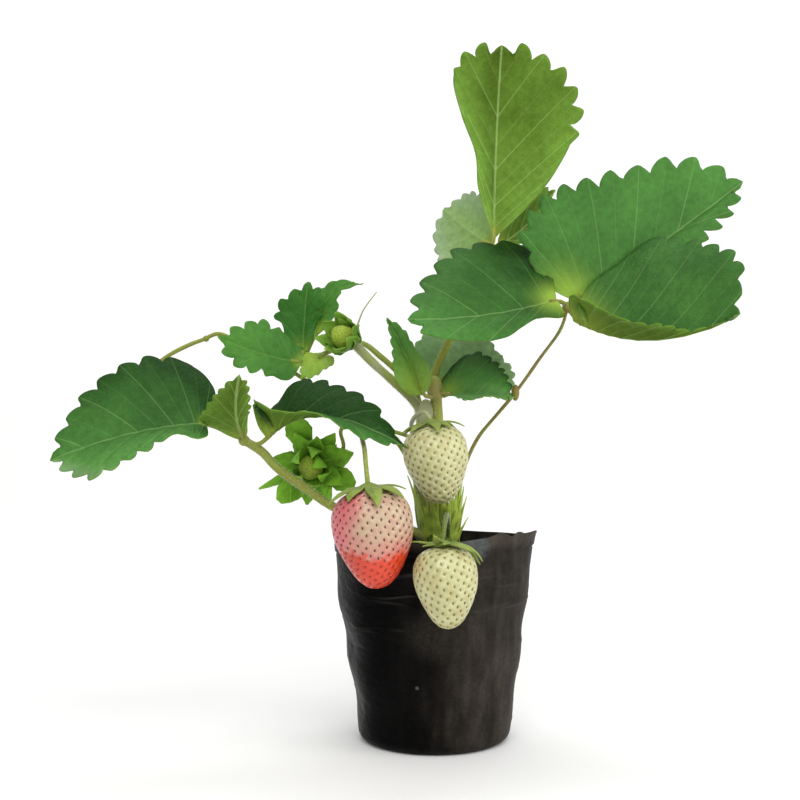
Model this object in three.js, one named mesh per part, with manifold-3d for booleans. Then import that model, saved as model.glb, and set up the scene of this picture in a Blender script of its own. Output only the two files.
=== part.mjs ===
// Potted strawberry plant: a soft black nursery grow bag of soil, a crown with stipules, five leaves of
// toothed leaflets, a runner, fruit stalks with calyces, three ripening berries and two young fruits.
// Millimetres, +Z up, +Y away from the front. The origin is on the ground under the middle of the bag.
import * as THREE from 'three';
import { mergeVertices } from 'three/addons/utils/BufferGeometryUtils.js';
import Module from 'manifold-3d';

const wasm = await Module();
wasm.setup();

// Driving dimensions of the bag, in millimetres
const BAG_HEIGHT = 82;
const BAG_FOOT_RADIUS = 30.5;
const BAG_MOUTH_RADIUS = 40;
const BAG_CENTRE_X = -0.9;
const BAG_CORNER = 4;
const BAG_WALL = 1;
const BAG_SIDES = 28;
const GAP = 0.35;
const WALL_LEVELS = [15, 29, 43, 57, 70];
const HEM_LEVEL = 77;
const FOOT_CURVE = 1.4;
const INNER_LIFT = 0.8;
const BAG_BULGE = 1.4;
const BAG_TUCK = 1.2;
const FOLD_DEPTH = 0.45;
const CREASE_DEPTH = 0.5;

// Driving dimensions of the soil and the crown that stands in it
const SOIL_LEVEL = 72;
const SOIL_LUMP = 1.1;
const CROWN_X = 1.5;
const CROWN_RADIUS = 8.5;
const CROWN_FOOT = 61;
const CROWN_TOP = 91;

// Blades and stems
const BLADE = 0.7;
const SEPAL = 0.7;
const SEPAL_STEPS = 4;
const SEPAL_SHARE = 0.92;
const STEM_SIDES = 6;
const STEP_LENGTH = 9;
const TOOTH_PEAK = 0.64;
const TOOTH_SAMPLES = [0, 0.36, TOOTH_PEAK];
const TOOTH_FADE = 0.08;
const TIP_SHARE = 0.45;
const VEIN_SWEEP = 1.6;
const CURL_SHARE = 0.35;
const FOLD_POWER = 0.6;
const SOCKET_GAP = 0.35;
const STALK_RADIUS = 1;
const STIPULE_ROOT = 76;
const STIPULE_STEPS = 4;
const STIPULE_TILT = 86;
const STIPULE_CUP = 0.9;
const STIPULE_TAPER = 2.2;
const CALYX_RISE = 1.25;
const CAP_SHARE = 0.3;
const CAP_HEIGHT = 2.6;
const YOUNG_CAP_SHARE = 0.55;
const YOUNG_CAP_HEIGHT = 2.4;
const SPREAD_START = 1.4;
const LOOSE_SCRAP = 0.5;
const MERGE = 1e-3;

// Greens, soil, film and fruit colours of the surfaces
const LEAF_GREEN = 0x3f7a3a;
const PALE_GREEN = 0x86a352;
const BRIGHT_GREEN = 0x4f8f35;
const STALK_GREEN = 0x8a9a4a;
const CROWN_GREEN = 0x7f8a45;
const FILM_BLACK = 0x26282b;
const SOIL_BROWN = 0x3a2c22;
const BERRY_CREAM = 0xe6dfb2;
const BERRY_BLUSH = 0xe2a090;
const FRUIT_GREEN = 0xa9b84a;

const vec = (p) => new THREE.Vector3(p[0], p[1], p[2]);
const radians = THREE.MathUtils.degToRad;
const clamp = THREE.MathUtils.clamp;

// Closed geometry from a list of points and triangles, with doubled points merged.
function shell(points, faces) {
  const geometry = new THREE.BufferGeometry();
  const flat = points.flatMap((p) => [p.x, p.y, p.z]);
  geometry.setAttribute('position', new THREE.Float32BufferAttribute(flat, 3));
  geometry.setIndex(faces.flat());
  return geometry;
}

// Points and triangles of a closed geometry, with points that coincide merged and empty triangles dropped.
function welded(geometry) {
  const bare = geometry.clone();
  bare.deleteAttribute('normal');
  bare.deleteAttribute('uv');
  const merged = mergeVertices(bare, MERGE);
  const index = merged.index.array;
  const faces = [];
  for (let i = 0; i < index.length; i += 3) {
    const [a, b, c] = index.slice(i, i + 3);
    if (a !== b && b !== c && a !== c) faces.push([a, b, c]);
  }
  return { points: merged.attributes.position.array, faces };
}

function solid(geometry) {
  const { points, faces } = welded(geometry);
  const vertProperties = new Float32Array(points);
  const triVerts = new Uint32Array(faces.flat());
  return new wasm.Manifold(new wasm.Mesh({ numProp: 3, vertProperties, triVerts }));
}

function fuse(geometries) {
  return geometries.map(solid).reduce((sum, next) => sum.add(next));
}

// Skins of a mesh: its triangles in groups that share edges, each with the volume that it encloses.
function skins(points, faces) {
  const parent = faces.map((_, i) => i);
  const root = (i) => {
    let r = i;
    while (parent[r] !== r) r = parent[r];
    parent[i] = r;
    return r;
  };
  const owner = new Map();
  faces.forEach((face, i) => face.forEach((p, k) => {
    const q = face[(k + 1) % 3];
    const edge = `${Math.min(p, q)} ${Math.max(p, q)}`;
    if (owner.has(edge)) parent[root(i)] = root(owner.get(edge));
    else owner.set(edge, i);
  }));
  const corner = (i) => new THREE.Vector3().fromArray(points, 3 * i);
  const groups = new Map();
  faces.forEach(([a, b, c], i) => {
    const group = groups.get(root(i)) ?? { faces: [], volume: 0 };
    group.faces.push([a, b, c]);
    group.volume += corner(a).dot(corner(b).cross(corner(c))) / 6;
    groups.set(root(i), group);
  });
  return [...groups.values()].sort((p, q) => q.volume - p.volume);
}

// Geometry of a fused solid. A hollow that the fusing sealed is filled, so only the outer skin is kept.
function fromSolid(body) {
  const mesh = body.getMesh();
  const raw = new THREE.BufferGeometry();
  raw.setAttribute('position', new THREE.Float32BufferAttribute(mesh.vertProperties, 3));
  raw.setIndex(Array.from(mesh.triVerts));
  const { points, faces } = welded(raw);
  const [outer, ...rest] = skins(points, faces);
  if (rest.some((skin) => skin.volume > LOOSE_SCRAP)) throw new Error('a fused piece is in two bodies');
  const geometry = new THREE.BufferGeometry();
  geometry.setAttribute('position', new THREE.Float32BufferAttribute(points, 3));
  geometry.setIndex(outer.faces.flat());
  geometry.computeVertexNormals();
  return geometry;
}

// Round solid of stacked rings of equal count. The first and last rings are closed to their own centres.
// A wall that goes down is split the other way, so that a hollow body and its filling have matching faces.
function rings(stack) {
  const count = stack[0].length;
  const points = stack.flat();
  const faces = [];
  for (let i = 0; i + 1 < stack.length; i += 1) {
    const down = stack[i + 1][0].z < stack[i][0].z;
    for (let j = 0; j < count; j += 1) {
      const a = i * count + j;
      const b = i * count + ((j + 1) % count);
      if (down) faces.push([a, b, a + count], [b, b + count, a + count]);
      else faces.push([a, b, b + count], [a, b + count, a + count]);
    }
  }
  const middle = (ring) => ring.reduce((sum, p) => sum.add(p), new THREE.Vector3()).divideScalar(count);
  const foot = points.push(middle(stack[0])) - 1;
  const head = points.push(middle(stack[stack.length - 1])) - 1;
  const last = (stack.length - 1) * count;
  for (let j = 0; j < count; j += 1) {
    faces.push([foot, (j + 1) % count, j], [head, last + j, last + ((j + 1) % count)]);
  }
  return shell(points, faces);
}

// Thin blade of even thickness about a grid of middle points; both faces are split alike. A row whose ends
// meet is one point, so it has one normal.
function blade(grid, thickness) {
  const rows = grid.length;
  const cols = grid[0].length;
  const at = (i, j) => grid[clamp(i, 0, rows - 1)][clamp(j, 0, cols - 1)];
  const normals = grid.map((row, i) => row.map((_, column) => {
    const inner = clamp(i, 1, rows - 2);
    const j = row[0].distanceTo(row[cols - 1]) < MERGE ? (cols - 1) / 2 : column;
    const along = at(inner + 1, j).clone().sub(at(inner - 1, j));
    const across = at(inner, j + 1).clone().sub(at(inner, j - 1));
    return along.cross(across).normalize();
  }));
  const lift = (side) => grid.flatMap((row, i) => row.map((p, j) => (
    p.clone().addScaledVector(normals[i][j], side * thickness / 2))));
  const points = [...lift(1), ...lift(-1)];
  const under = rows * cols;
  const faces = [];
  const quad = (a, b, c, d) => faces.push([a, b, c], [a, c, d]);
  for (let i = 0; i + 1 < rows; i += 1) {
    for (let j = 0; j + 1 < cols; j += 1) {
      const a = i * cols + j;
      const flip = j + 1 < cols / 2;
      const corners = [a, a + cols, a + cols + 1, a + 1];
      const turned = flip ? [...corners.slice(1), corners[0]] : corners;
      quad(...turned);
      faces.push([turned[0] + under, turned[2] + under, turned[1] + under]);
      faces.push([turned[0] + under, turned[3] + under, turned[2] + under]);
    }
  }
  for (let i = 0; i + 1 < rows; i += 1) {
    const a = i * cols;
    const b = i * cols + cols - 1;
    quad(a, a + under, a + cols + under, a + cols);
    quad(b, b + cols, b + cols + under, b + under);
  }
  for (let j = 0; j + 1 < cols; j += 1) {
    const b = (rows - 1) * cols + j;
    quad(j, j + 1, j + 1 + under, j + under);
    quad(b, b + under, b + 1 + under, b + 1);
  }
  return shell(points, faces);
}

// Round stem along a smooth path through the given points.
function stem(path, radius, extra = 0) {
  const curve = new THREE.CatmullRomCurve3(path.map(vec), false, 'centripetal');
  const section = new THREE.Shape();
  for (let k = 0; k < STEM_SIDES; k += 1) {
    const a = (k + 0.5) * 2 * Math.PI / STEM_SIDES;
    const reach = radius + extra;
    section[k ? 'lineTo' : 'moveTo'](reach * Math.cos(a), reach * Math.sin(a));
  }
  section.closePath();
  const steps = Math.max(3, Math.round(curve.getLength() / STEP_LENGTH));
  return new THREE.ExtrudeGeometry(section, { steps, bevelEnabled: false, extrudePath: curve });
}

// Small egg of given radii, such as a swollen joint in a stem.
function knob(place, radius, height = radius) {
  const geometry = new THREE.SphereGeometry(1, 6, 4);
  geometry.rotateX(Math.PI / 2);
  geometry.scale(radius, radius, height);
  geometry.translate(...place);
  return geometry;
}

// Outline of a margin tooth at a share of its step: it rises to its peak and falls faster to the notch.
function toothProfile(share) {
  const rise = Math.sin(Math.PI / 2 * Math.min(share / TOOTH_PEAK, 1)) ** 0.75;
  const fall = 0.5 + 0.5 * Math.cos(Math.PI * clamp((share - TOOTH_PEAK) / (1 - TOOTH_PEAK), 0, 1));
  return rise * fall ** 0.8 - 0.5;
}

// Margin of one half of a leaflet in its own plane: distance along the midrib and out from it.
// It runs smoothly from the base through the edge points to the tip, with a tooth where the edge is cut.
function marginLine(leaflet, half, length) {
  const flat = [[0, 0], ...half.edge, [length, 0]].map(([along, out]) => new THREE.Vector3(along, out, 0));
  const line = new THREE.CatmullRomCurve3(flat, false, 'catmullrom', 0.5);
  return (p, tooth) => {
    if (p >= 1) return [length + leaflet.tooth * TIP_SHARE, 0];
    const point = line.getPointAt(clamp(p, 0, 1));
    const ahead = line.getTangentAt(clamp(p, 0.001, 0.999));
    const width = point.y / (1.5 * leaflet.tooth) + ahead.y * ahead.y;
    const start = half.bare ?? leaflet.bare;
    const depth = leaflet.tooth * clamp((p - start) / TOOTH_FADE, 0, 1) * clamp(width, 0.25, 1);
    const wave = toothProfile(tooth);
    return [point.x - ahead.y * depth * wave, Math.max(point.y + ahead.x * depth * wave, 0)];
  };
}

// Stations down the margin, with three to each tooth, as pairs of margin share and share of the tooth.
function stations(leaflet) {
  const plain = leaflet.small ? 2 : 3;
  const list = [];
  for (let k = 0; k < plain; k += 1) list.push([leaflet.bare * (k / plain) ** 0.8, 0]);
  const step = (1 - leaflet.bare) / (leaflet.teeth + 0.5);
  for (let k = 0; k <= leaflet.teeth; k += 1) {
    for (const share of leaflet.small ? [0, 0.55] : TOOTH_SAMPLES) {
      const p = leaflet.bare + (k + share) * step;
      if (p < 0.985) list.push([p, share]);
    }
  }
  list.push([1, 0.5]);
  return list;
}

// Middle surface of a leaflet. The midrib is a curve of three points; each half leaves it at a fold angle
// and the side veins sweep forward from it to the margin.
function leafletGrid(leaflet) {
  const [base, mid, tip] = [leaflet.base, leaflet.mid, leaflet.tip].map(vec);
  const rib = new THREE.QuadraticBezierCurve3(base, mid, tip);
  const length = rib.getLength();
  const chord = tip.clone().sub(base).normalize();
  const up = vec(leaflet.up).normalize();
  const place = (along, out, side, half) => {
    const u = clamp(along / length, 0, 1);
    const ahead = rib.getTangent(u);
    const centre = rib.getPoint(u).addScaledVector(ahead, along - u * length);
    const heading = ahead.multiplyScalar(CURL_SHARE).addScaledVector(chord, 1 - CURL_SHARE).normalize();
    const top = up.clone().addScaledVector(heading, -up.dot(heading)).normalize();
    const outward = heading.clone().cross(top).multiplyScalar(side);
    const [rootFold, tipFold] = half.fold ?? [0, 0];
    const fold = radians(rootFold + (tipFold - rootFold) * u ** FOLD_POWER);
    return centre.addScaledVector(outward, out * Math.cos(fold)).addScaledVector(top, out * Math.sin(fold));
  };
  const lines = [leaflet.left, leaflet.right].map((half) => marginLine(leaflet, half, length));
  return stations(leaflet).map(([p, tooth]) => {
    const foot = p ** VEIN_SWEEP * (length + leaflet.tooth * TIP_SHARE);
    const edge = (half, line, side) => place(...line(p, tooth), side, half);
    return [
      edge(leaflet.left, lines[0], -1),
      place(foot, 0, 1, leaflet.right),
      edge(leaflet.right, lines[1], 1),
    ];
  });
}

const leafletSolid = (leaflet) => blade(leafletGrid(leaflet), BLADE);

// The leaflets. Each has its base, the middle control and the tip of its midrib, the way its top side
// faces, and for each half the margin's reach (along, out) and the fold angles at base and tip.
const LEAVES = {
  leaf_upper_right: {
    colour: LEAF_GREEN,
    petiole: [[5.5, 1.5, 79], [7, 2, 88], [10, 2.6, 104], [14, 2.2, 116], [18, 1.8, 123.5],
      [25, 1, 132], [32.5, 0, 141], [42.5, 0, 155], [51, 0, 167], [54, 0, 176]],
    radius: 1.1,
    knobs: [[[32.5, 0, 141], 2.2, 3], [[54, 0, 176], 2.4]],
    stalks: [[[54, 0, 176], [57, 4, 178.5], [60, 7, 181]],
      [[54, 0, 176], [55, -3, 173.5], [59, -5, 168.5]],
      [[54, 0, 176], [51, -3, 178], [46, -5, 178]]],
    leaflets: [
      { base: [57, 6, 179], mid: [87, 18, 197], tip: [134, 36, 232.5], up: [0.1, -1, 0.1],
        tooth: 5.2, teeth: 8, bare: 0.34,
        left: { edge: [[-5, 9], [-6, 21], [2, 37], [28, 42], [56, 35], [82, 24.5], [96, 9]] },
        right: { edge: [[14, 8], [40, 14], [70, 11], [90, 6]], fold: [15, 35] } },
      { base: [56, -4, 170.5], mid: [84, -14, 153.5], tip: [117, -24, 171], up: [0.1, -0.85, 0.5],
        tooth: 3.2, teeth: 7, bare: 0.45,
        left: { edge: [[1, 18], [10, 34], [30, 51.5], [54, 44], [71, 24]] },
        right: { edge: [[0, 19], [8, 22], [24, 20], [37, 14], [44, 8], [48, 3], [60, 2]], fold: [80, 76] } },
      { base: [49, -4, 179], mid: [21, -16, 170], tip: [-10, -26, 169.5], up: [-0.2, -0.75, 0.6],
        tooth: 4.4, teeth: 6, bare: 0.3,
        left: { edge: [[1, 9], [5, 9.5], [13, 8], [22, 11], [31, 14], [48, 14], [59, 10.5]], bare: 0.86 },
        right: { edge: [[-6, 17], [-5, 33], [10, 43], [32, 38], [52, 21]] } },
    ],
  },
  leaf_upright: {
    colour: PALE_GREEN,
    petiole: [[3, 4, 84], [3, 5.5, 92], [2, 8, 112], [-0.5, 11, 135], [0, 12, 149], [6, 16, 163],
      [16, 24, 186], [25, 33, 204]],
    radius: 1.7,
    knobs: [[[25, 33, 204], 2.3]],
    stalks: [[[25, 33, 204], [26, 32, 208], [26, 32.5, 213]],
      [[25, 33, 204], [25, 36, 206], [22, 41, 208.5]],
      [[25, 33, 204], [28, 36, 206], [31, 40, 208.5]]],
    leaflets: [
      { base: [26, 32, 208], mid: [27, 38, 252], tip: [29, 28, 289], up: [0, 0.98, 0.1],
        tooth: 5.2, teeth: 6, bare: 0.45,
        left: { edge: [[12, 13], [28, 26], [47, 35], [62, 34], [75, 24], [82, 11]], fold: [20, 0] },
        right: { edge: [[20, 7], [36, 9], [53, 16], [70, 20], [81, 12]], bare: 0.74 } },
      { base: [25, 36, 206], mid: [17, 50, 213], tip: [6, 68, 226], up: [0.2, 0.95, 0.1],
        tooth: 1.8, teeth: 5, bare: 0.4,
        left: { edge: [[8, 9], [22, 15.5], [37, 12]] },
        right: { edge: [[7, 10.5], [22, 19.5], [38, 13.5]] } },
      { base: [28, 36, 206], mid: [42, 50, 214], tip: [56, 62, 234], up: [-0.5, 0.75, 0.4],
        tooth: 1.8, teeth: 5, bare: 0.4,
        left: { edge: [[8, 4], [24, 7], [40, 5]] },
        right: { edge: [[8, 7], [24, 12], [40, 7]] } },
    ],
  },
  leaf_middle: {
    colour: LEAF_GREEN,
    petiole: [[3.5, -2, 84], [3.5, -3, 93], [2.5, -3, 110], [1.5, 0, 128], [1, 5, 140]],
    radius: 1.5,
    knobs: [[[1, 5, 140], 2.2]],
    stalks: [[[1, 5, 140], [2, 4, 140.3], [6, 1, 140.6]],
      [[1, 5, 140], [4.5, 10.5, 141], [4, 17, 144]],
      [[1, 5, 140], [-4, 3, 139.5], [-7, 1.5, 144]]],
    leaflets: [
      { base: [3, 4, 140], mid: [17, -8, 141], tip: [30, -14, 139], up: [0.1, -0.8, 0.5],
        tooth: 1.8, teeth: 7, bare: 0.35,
        left: { edge: [[-5, 9], [-2, 18], [7, 22], [17, 18], [27, 9]] },
        right: { edge: [[5, 6], [16, 9], [26, 6]], fold: [40, 40] } },
      { base: [2, 16, 142], mid: [14, 22, 151], tip: [29, 28, 157], up: [0.1, -0.85, 0.5],
        tooth: 1.8, teeth: 6, bare: 0.3,
        left: { edge: [[1, 11], [4, 22], [15, 25], [26, 18], [32, 8]] },
        right: { edge: [[4, 6], [14, 12], [26, 16], [33, 9]] } },
      { base: [-6, 2, 140], mid: [-10, -3, 153], tip: [-20, -6, 171], up: [-0.5, -0.8, 0.2],
        tooth: 0.8, teeth: 4, bare: 0.5, small: true,
        left: { edge: [[3, 5], [12, 8], [22, 5], [30, 2]], fold: [40, 40] },
        right: { edge: [[5, 9], [15, 11], [26, 8], [33, 3]], fold: [30, 30] } },
    ],
  },
  leaf_left: {
    colour: LEAF_GREEN,
    petiole: [[-1, -2, 79], [-7, -3.5, 83.5], [-18, -6, 87], [-41.2, -12, 95.1], [-54, -15, 104],
      [-63.6, -16.8, 111], [-69.5, -17.5, 117.5], [-76.5, -18, 122]],
    radius: 1.8,
    knobs: [[[-76.5, -18, 122], 2.3]],
    stalks: [[[-76.5, -18, 122], [-84, -19, 126], [-93, -20.3, 129]],
      [[-76.5, -18, 122], [-76.5, -21, 124], [-77.5, -26, 127]],
      [[-76.5, -18, 122], [-71, -18.5, 120.5], [-65, -20.6, 125]]],
    leaflets: [
      { base: [-91, -20, 129], mid: [-119, -26, 128], tip: [-147, -36, 115.5], up: [-0.1, -0.85, 0.5],
        tooth: 3.3, teeth: 7, bare: 0.32,
        left: { edge: [[2, 13], [8, 14], [14, 8], [28, 13.5], [45, 22], [54, 16]], fold: [34, 22] },
        right: { edge: [[-6, 14], [-1, 27], [10, 33], [28, 31], [43, 23], [53, 12]] } },
      { base: [-76, -18, 122.5], mid: [-80, -34, 130], tip: [-74, -53, 147], up: [0, 0.6, 0.75],
        tooth: 1.4, teeth: 5, bare: 0.45,
        left: { edge: [[10, 3], [25, 5], [37, 4]], fold: [10, 10] },
        right: { edge: [[4, 9], [13, 15], [26, 10], [37, 5]], fold: [10, 10] } },
      { base: [-67, -20, 122.8], mid: [-49, -26, 142], tip: [-13, -30, 120], up: [0.1, -0.75, 0.65],
        tooth: 2.6, teeth: 6, bare: 0.38,
        left: { edge: [[-2, 6], [-1, 13], [7, 14.5], [12, 20], [21, 20], [33, 16], [47, 10.5]] },
        right: { edge: [[-2, 8], [1, 18], [11, 13], [22, 9], [36, 12], [51, 7]], fold: [115, 15] } },
    ],
  },
  leaf_bright: {
    colour: BRIGHT_GREEN,
    petiole: [[-1.5, 5, 81], [-3.5, 7.5, 89], [-7, 13, 110], [-6.5, 16.5, 128], [-7.6, 17.5, 140],
      [-15, 17.5, 149], [-23.3, 17, 156.6], [-31, 17, 162], [-42, 18, 160], [-50, 18, 156], [-56, 17, 154]],
    radius: 1.3,
    knobs: [[[-56, 17, 154], 1.9]],
    stalks: [[[-56, 17, 154], [-56, 17.5, 156], [-56, 18, 159]],
      [[-56, 17, 154], [-58, 16, 154.2], [-61, 15.6, 154.6]],
      [[-56, 17, 154], [-54.5, 20, 158], [-51, 22, 166]],
      [[-48, 18, 157], [-47, 16, 157], [-48.5, 12.5, 156]]],
    leaflets: [
      { base: [-56, 16, 154], mid: [-73, 14, 156], tip: [-90, 10, 164], up: [0, -0.9, 0.4],
        tooth: 2.8, teeth: 4, bare: 0.35,
        left: { edge: [[4, 9], [14, 8], [24, 9], [32, 5]] },
        right: { edge: [[1, 8], [6, 12], [12, 11.5], [22, 14.5], [29, 9]] } },
      { base: [-56, 18, 154], mid: [-56, 20, 172], tip: [-54, 18, 187], up: [0, -0.95, 0.2],
        tooth: 2.8, teeth: 3, bare: 0.45,
        left: { edge: [[4, 8], [13, 8.5], [20, 12], [27, 8]] },
        right: { edge: [[8, 4], [15, 5], [24, 7], [31, 5]] } },
      { base: [-51, 22, 165], mid: [-50, 26, 188], tip: [-31, 24, 188], up: [0, -0.7, 0.6],
        tooth: 1.2, teeth: 3, bare: 0.4, small: true,
        left: { edge: [[9, 5], [18, 6], [26, 4]] },
        right: { edge: [[6, 6], [15, 7], [24, 2]] } },
      { base: [-47, 16, 157], mid: [-50, 11, 156], tip: [-56, 8, 147], up: [-0.3, -0.8, 0.5],
        tooth: 0.8, teeth: 3, bare: 0.5, small: true,
        left: { edge: [[1, 6], [8, 8], [14, 4]] },
        right: { edge: [[1, 5], [8, 6], [13, 3]] } },
    ],
  },
};

// Berries: middle of the top, tip, largest radius. The upper and lower young fruits are small ones.
const BERRIES = {
  berry_blush: { top: [-26.4, -51.5, 105], tip: [-22.9, -52, 68.5], radius: 15,
    rows: 13, sides: 26, pit: 0.5, colour: BERRY_BLUSH },
  berry_white_upper: { top: [-2.4, -24, 128], tip: [1.5, -25, 97.5], radius: 12.6,
    rows: 12, sides: 24, pit: 0.45, colour: BERRY_CREAM },
  berry_white_lower: { top: [1, -53.5, 84], tip: [3.2, -54.5, 54], radius: 11.8,
    rows: 12, sides: 24, pit: 0.45, colour: BERRY_CREAM },
  young_fruit_upper: { top: [-35.2, 9, 162.3], tip: [-42, 0.5, 166.5], radius: 5,
    rows: 5, sides: 12, pit: 0.2, colour: FRUIT_GREEN },
  young_fruit_lower: { top: [-51, 0, 110.8], tip: [-51.5, -8, 109.8], radius: 5,
    rows: 5, sides: 12, pit: 0.2, colour: FRUIT_GREEN },
};

// Half outline of a berry: share of its height from the tip, share of its largest radius.
const BERRY_OUTLINE = [[0, 0], [0.02, 0.22], [0.1, 0.47], [0.28, 0.74], [0.48, 0.94], [0.64, 1], [0.8, 0.95],
  [0.92, 0.75], [0.985, 0.42], [1, 0]];

// Axis and two cross directions of a berry.
function berryFrame({ top, tip }) {
  const axis = vec(top).sub(vec(tip));
  const height = axis.length();
  axis.normalize();
  const east = new THREE.Vector3(1, 0, 0).addScaledVector(axis, -axis.x).normalize();
  const north = axis.clone().cross(east);
  return { axis, east, north, height, foot: vec(tip) };
}

const berryLine = new THREE.CatmullRomCurve3(BERRY_OUTLINE.map(([h, r]) => new THREE.Vector3(h, r, 0)));

// Berry skin: every second point of the rings is drawn in, so that the seeds' pits stagger round it.
function berry(spec) {
  const frame = berryFrame(spec);
  const stack = [];
  for (let i = 1; i < spec.rows; i += 1) {
    const outline = berryLine.getPointAt(i / spec.rows);
    const ring = [];
    for (let j = 0; j < spec.sides; j += 1) {
      const a = (j + (i % 2) / 2) * 2 * Math.PI / spec.sides;
      const inset = (i + j) % 2 && i < spec.rows - 1 ? spec.pit : 0;
      const r = outline.y * spec.radius - inset;
      ring.push(frame.foot.clone().addScaledVector(frame.axis, outline.x * frame.height)
        .addScaledVector(frame.east, r * Math.cos(a)).addScaledVector(frame.north, r * Math.sin(a)));
    }
    stack.push(ring);
  }
  return rings(stack);
}

// Share of a sepal's full width: narrow at the root, widest near the middle, pointed at the end.
const sepalWidth = (s) => Math.max(0.06, Math.sin(Math.PI * (0.05 + 0.95 * s) ** 0.72) ** 0.9);

// Sepals that lie over a berry's shoulder: each follows the berry's outline at a small distance and
// lifts towards its point by the given share.
function shoulderSepal(spec, turn, { count, length, width, lift }) {
  const frame = berryFrame(spec);
  const shoulder = [[0.998, 0.17], [0.975, 0.5], [0.93, 0.72], [0.82, 0.94], [0.66, 1], [0.5, 0.95]];
  const line = new THREE.CatmullRomCurve3(shoulder.map(([h, r]) => (
    new THREE.Vector3(h * frame.height, r * spec.radius, 0))));
  const reach = line.getLength();
  const grid = [];
  for (let i = 0; i <= SEPAL_STEPS; i += 1) {
    const s = i / SEPAL_STEPS;
    const at = clamp(s * length / reach, 0, 1);
    const point = line.getPointAt(at);
    const ahead = line.getTangentAt(at);
    const rise = CALYX_RISE + lift * s * s;
    const h = point.x + ahead.y * rise;
    const r = point.y - ahead.x * rise;
    const half = Math.min(width / 2 * sepalWidth(s), SEPAL_SHARE * Math.PI * r / count);
    grid.push([-1, 1].map((k) => {
      const a = turn + k * half / r;
      return frame.foot.clone().addScaledVector(frame.axis, h)
        .addScaledVector(frame.east, r * Math.cos(a)).addScaledVector(frame.north, r * Math.sin(a));
    }));
  }
  return blade(grid, SEPAL);
}

// Sepals that spread round a young fruit: each leaves the stalk's end and bends from one angle to another.
function spreadSepal(spec, turn, { count, length, width, from, to }) {
  const frame = berryFrame(spec);
  const away = frame.axis.clone().negate();
  const out = frame.east.clone().multiplyScalar(Math.cos(turn)).addScaledVector(frame.north, Math.sin(turn));
  const across = away.clone().cross(out);
  const start = spec.radius * 0.3;
  const place = vec(spec.top).addScaledVector(frame.axis, SPREAD_START).addScaledVector(out, start);
  const step = length / SEPAL_STEPS;
  const grid = [];
  for (let i = 0; i <= SEPAL_STEPS; i += 1) {
    const s = i / SEPAL_STEPS;
    const tilt = radians(from + (to - from) * s);
    const room = SEPAL_SHARE * Math.PI * (start + s * length) / count;
    const half = Math.min(width / 2 * sepalWidth(s), room);
    grid.push([-1, 1].map((k) => place.clone().addScaledVector(across, k * half)));
    place.addScaledVector(out, step * Math.cos(tilt)).addScaledVector(away, step * Math.sin(tilt));
  }
  return blade(grid, SEPAL);
}

// Cap of a calyx where the stalk meets it.
function calyxCap(spec, radius, height) {
  const frame = berryFrame(spec);
  const geometry = new THREE.LatheGeometry([[0, 0], [radius, 0], [radius * 0.75, height * 0.6], [0, height]]
    .map(([x, y]) => new THREE.Vector2(x, y)), 8);
  const turn = new THREE.Quaternion().setFromUnitVectors(new THREE.Vector3(0, 1, 0), frame.axis);
  geometry.applyQuaternion(turn);
  const seat = vec(spec.top).addScaledVector(frame.axis, GAP);
  geometry.translate(seat.x, seat.y, seat.z);
  return geometry;
}

// Whole calyx of a berry: a cap and sepals of alternating size, each turned and lifted a little by its own
// fixed share. Sepals at the right are longer, and those in front shorter, by the given shares.
function calyx(spec, { count, length, width, lift, right = 0, front = 0 }) {
  const parts = [calyxCap(spec, spec.radius * CAP_SHARE, CAP_HEIGHT)];
  for (let k = 0; k < count; k += 1) {
    const vary = Math.sin(k * 2.4 + spec.radius);
    const turn = (k + 0.25 * vary) * 2 * Math.PI / count;
    const reach = 1 + right * Math.cos(turn) - front * Math.max(0, -Math.sin(turn));
    const size = { count, length: length * reach * (1 + 0.14 * vary), width, lift: lift * (1 + 0.8 * vary) };
    parts.push(shoulderSepal(spec, turn, size));
  }
  return parts;
}

// Calyx of a young fruit: a cap and sepals listed by turn in degrees, length and width.
function youngCalyx(spec, { from, to, sepals }) {
  const spread = sepals.map(([turn, length, width]) => (
    spreadSepal(spec, radians(turn), { count: sepals.length, length, width, from, to })));
  return [calyxCap(spec, spec.radius * YOUNG_CAP_SHARE, YOUNG_CAP_HEIGHT), ...spread];
}

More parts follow.
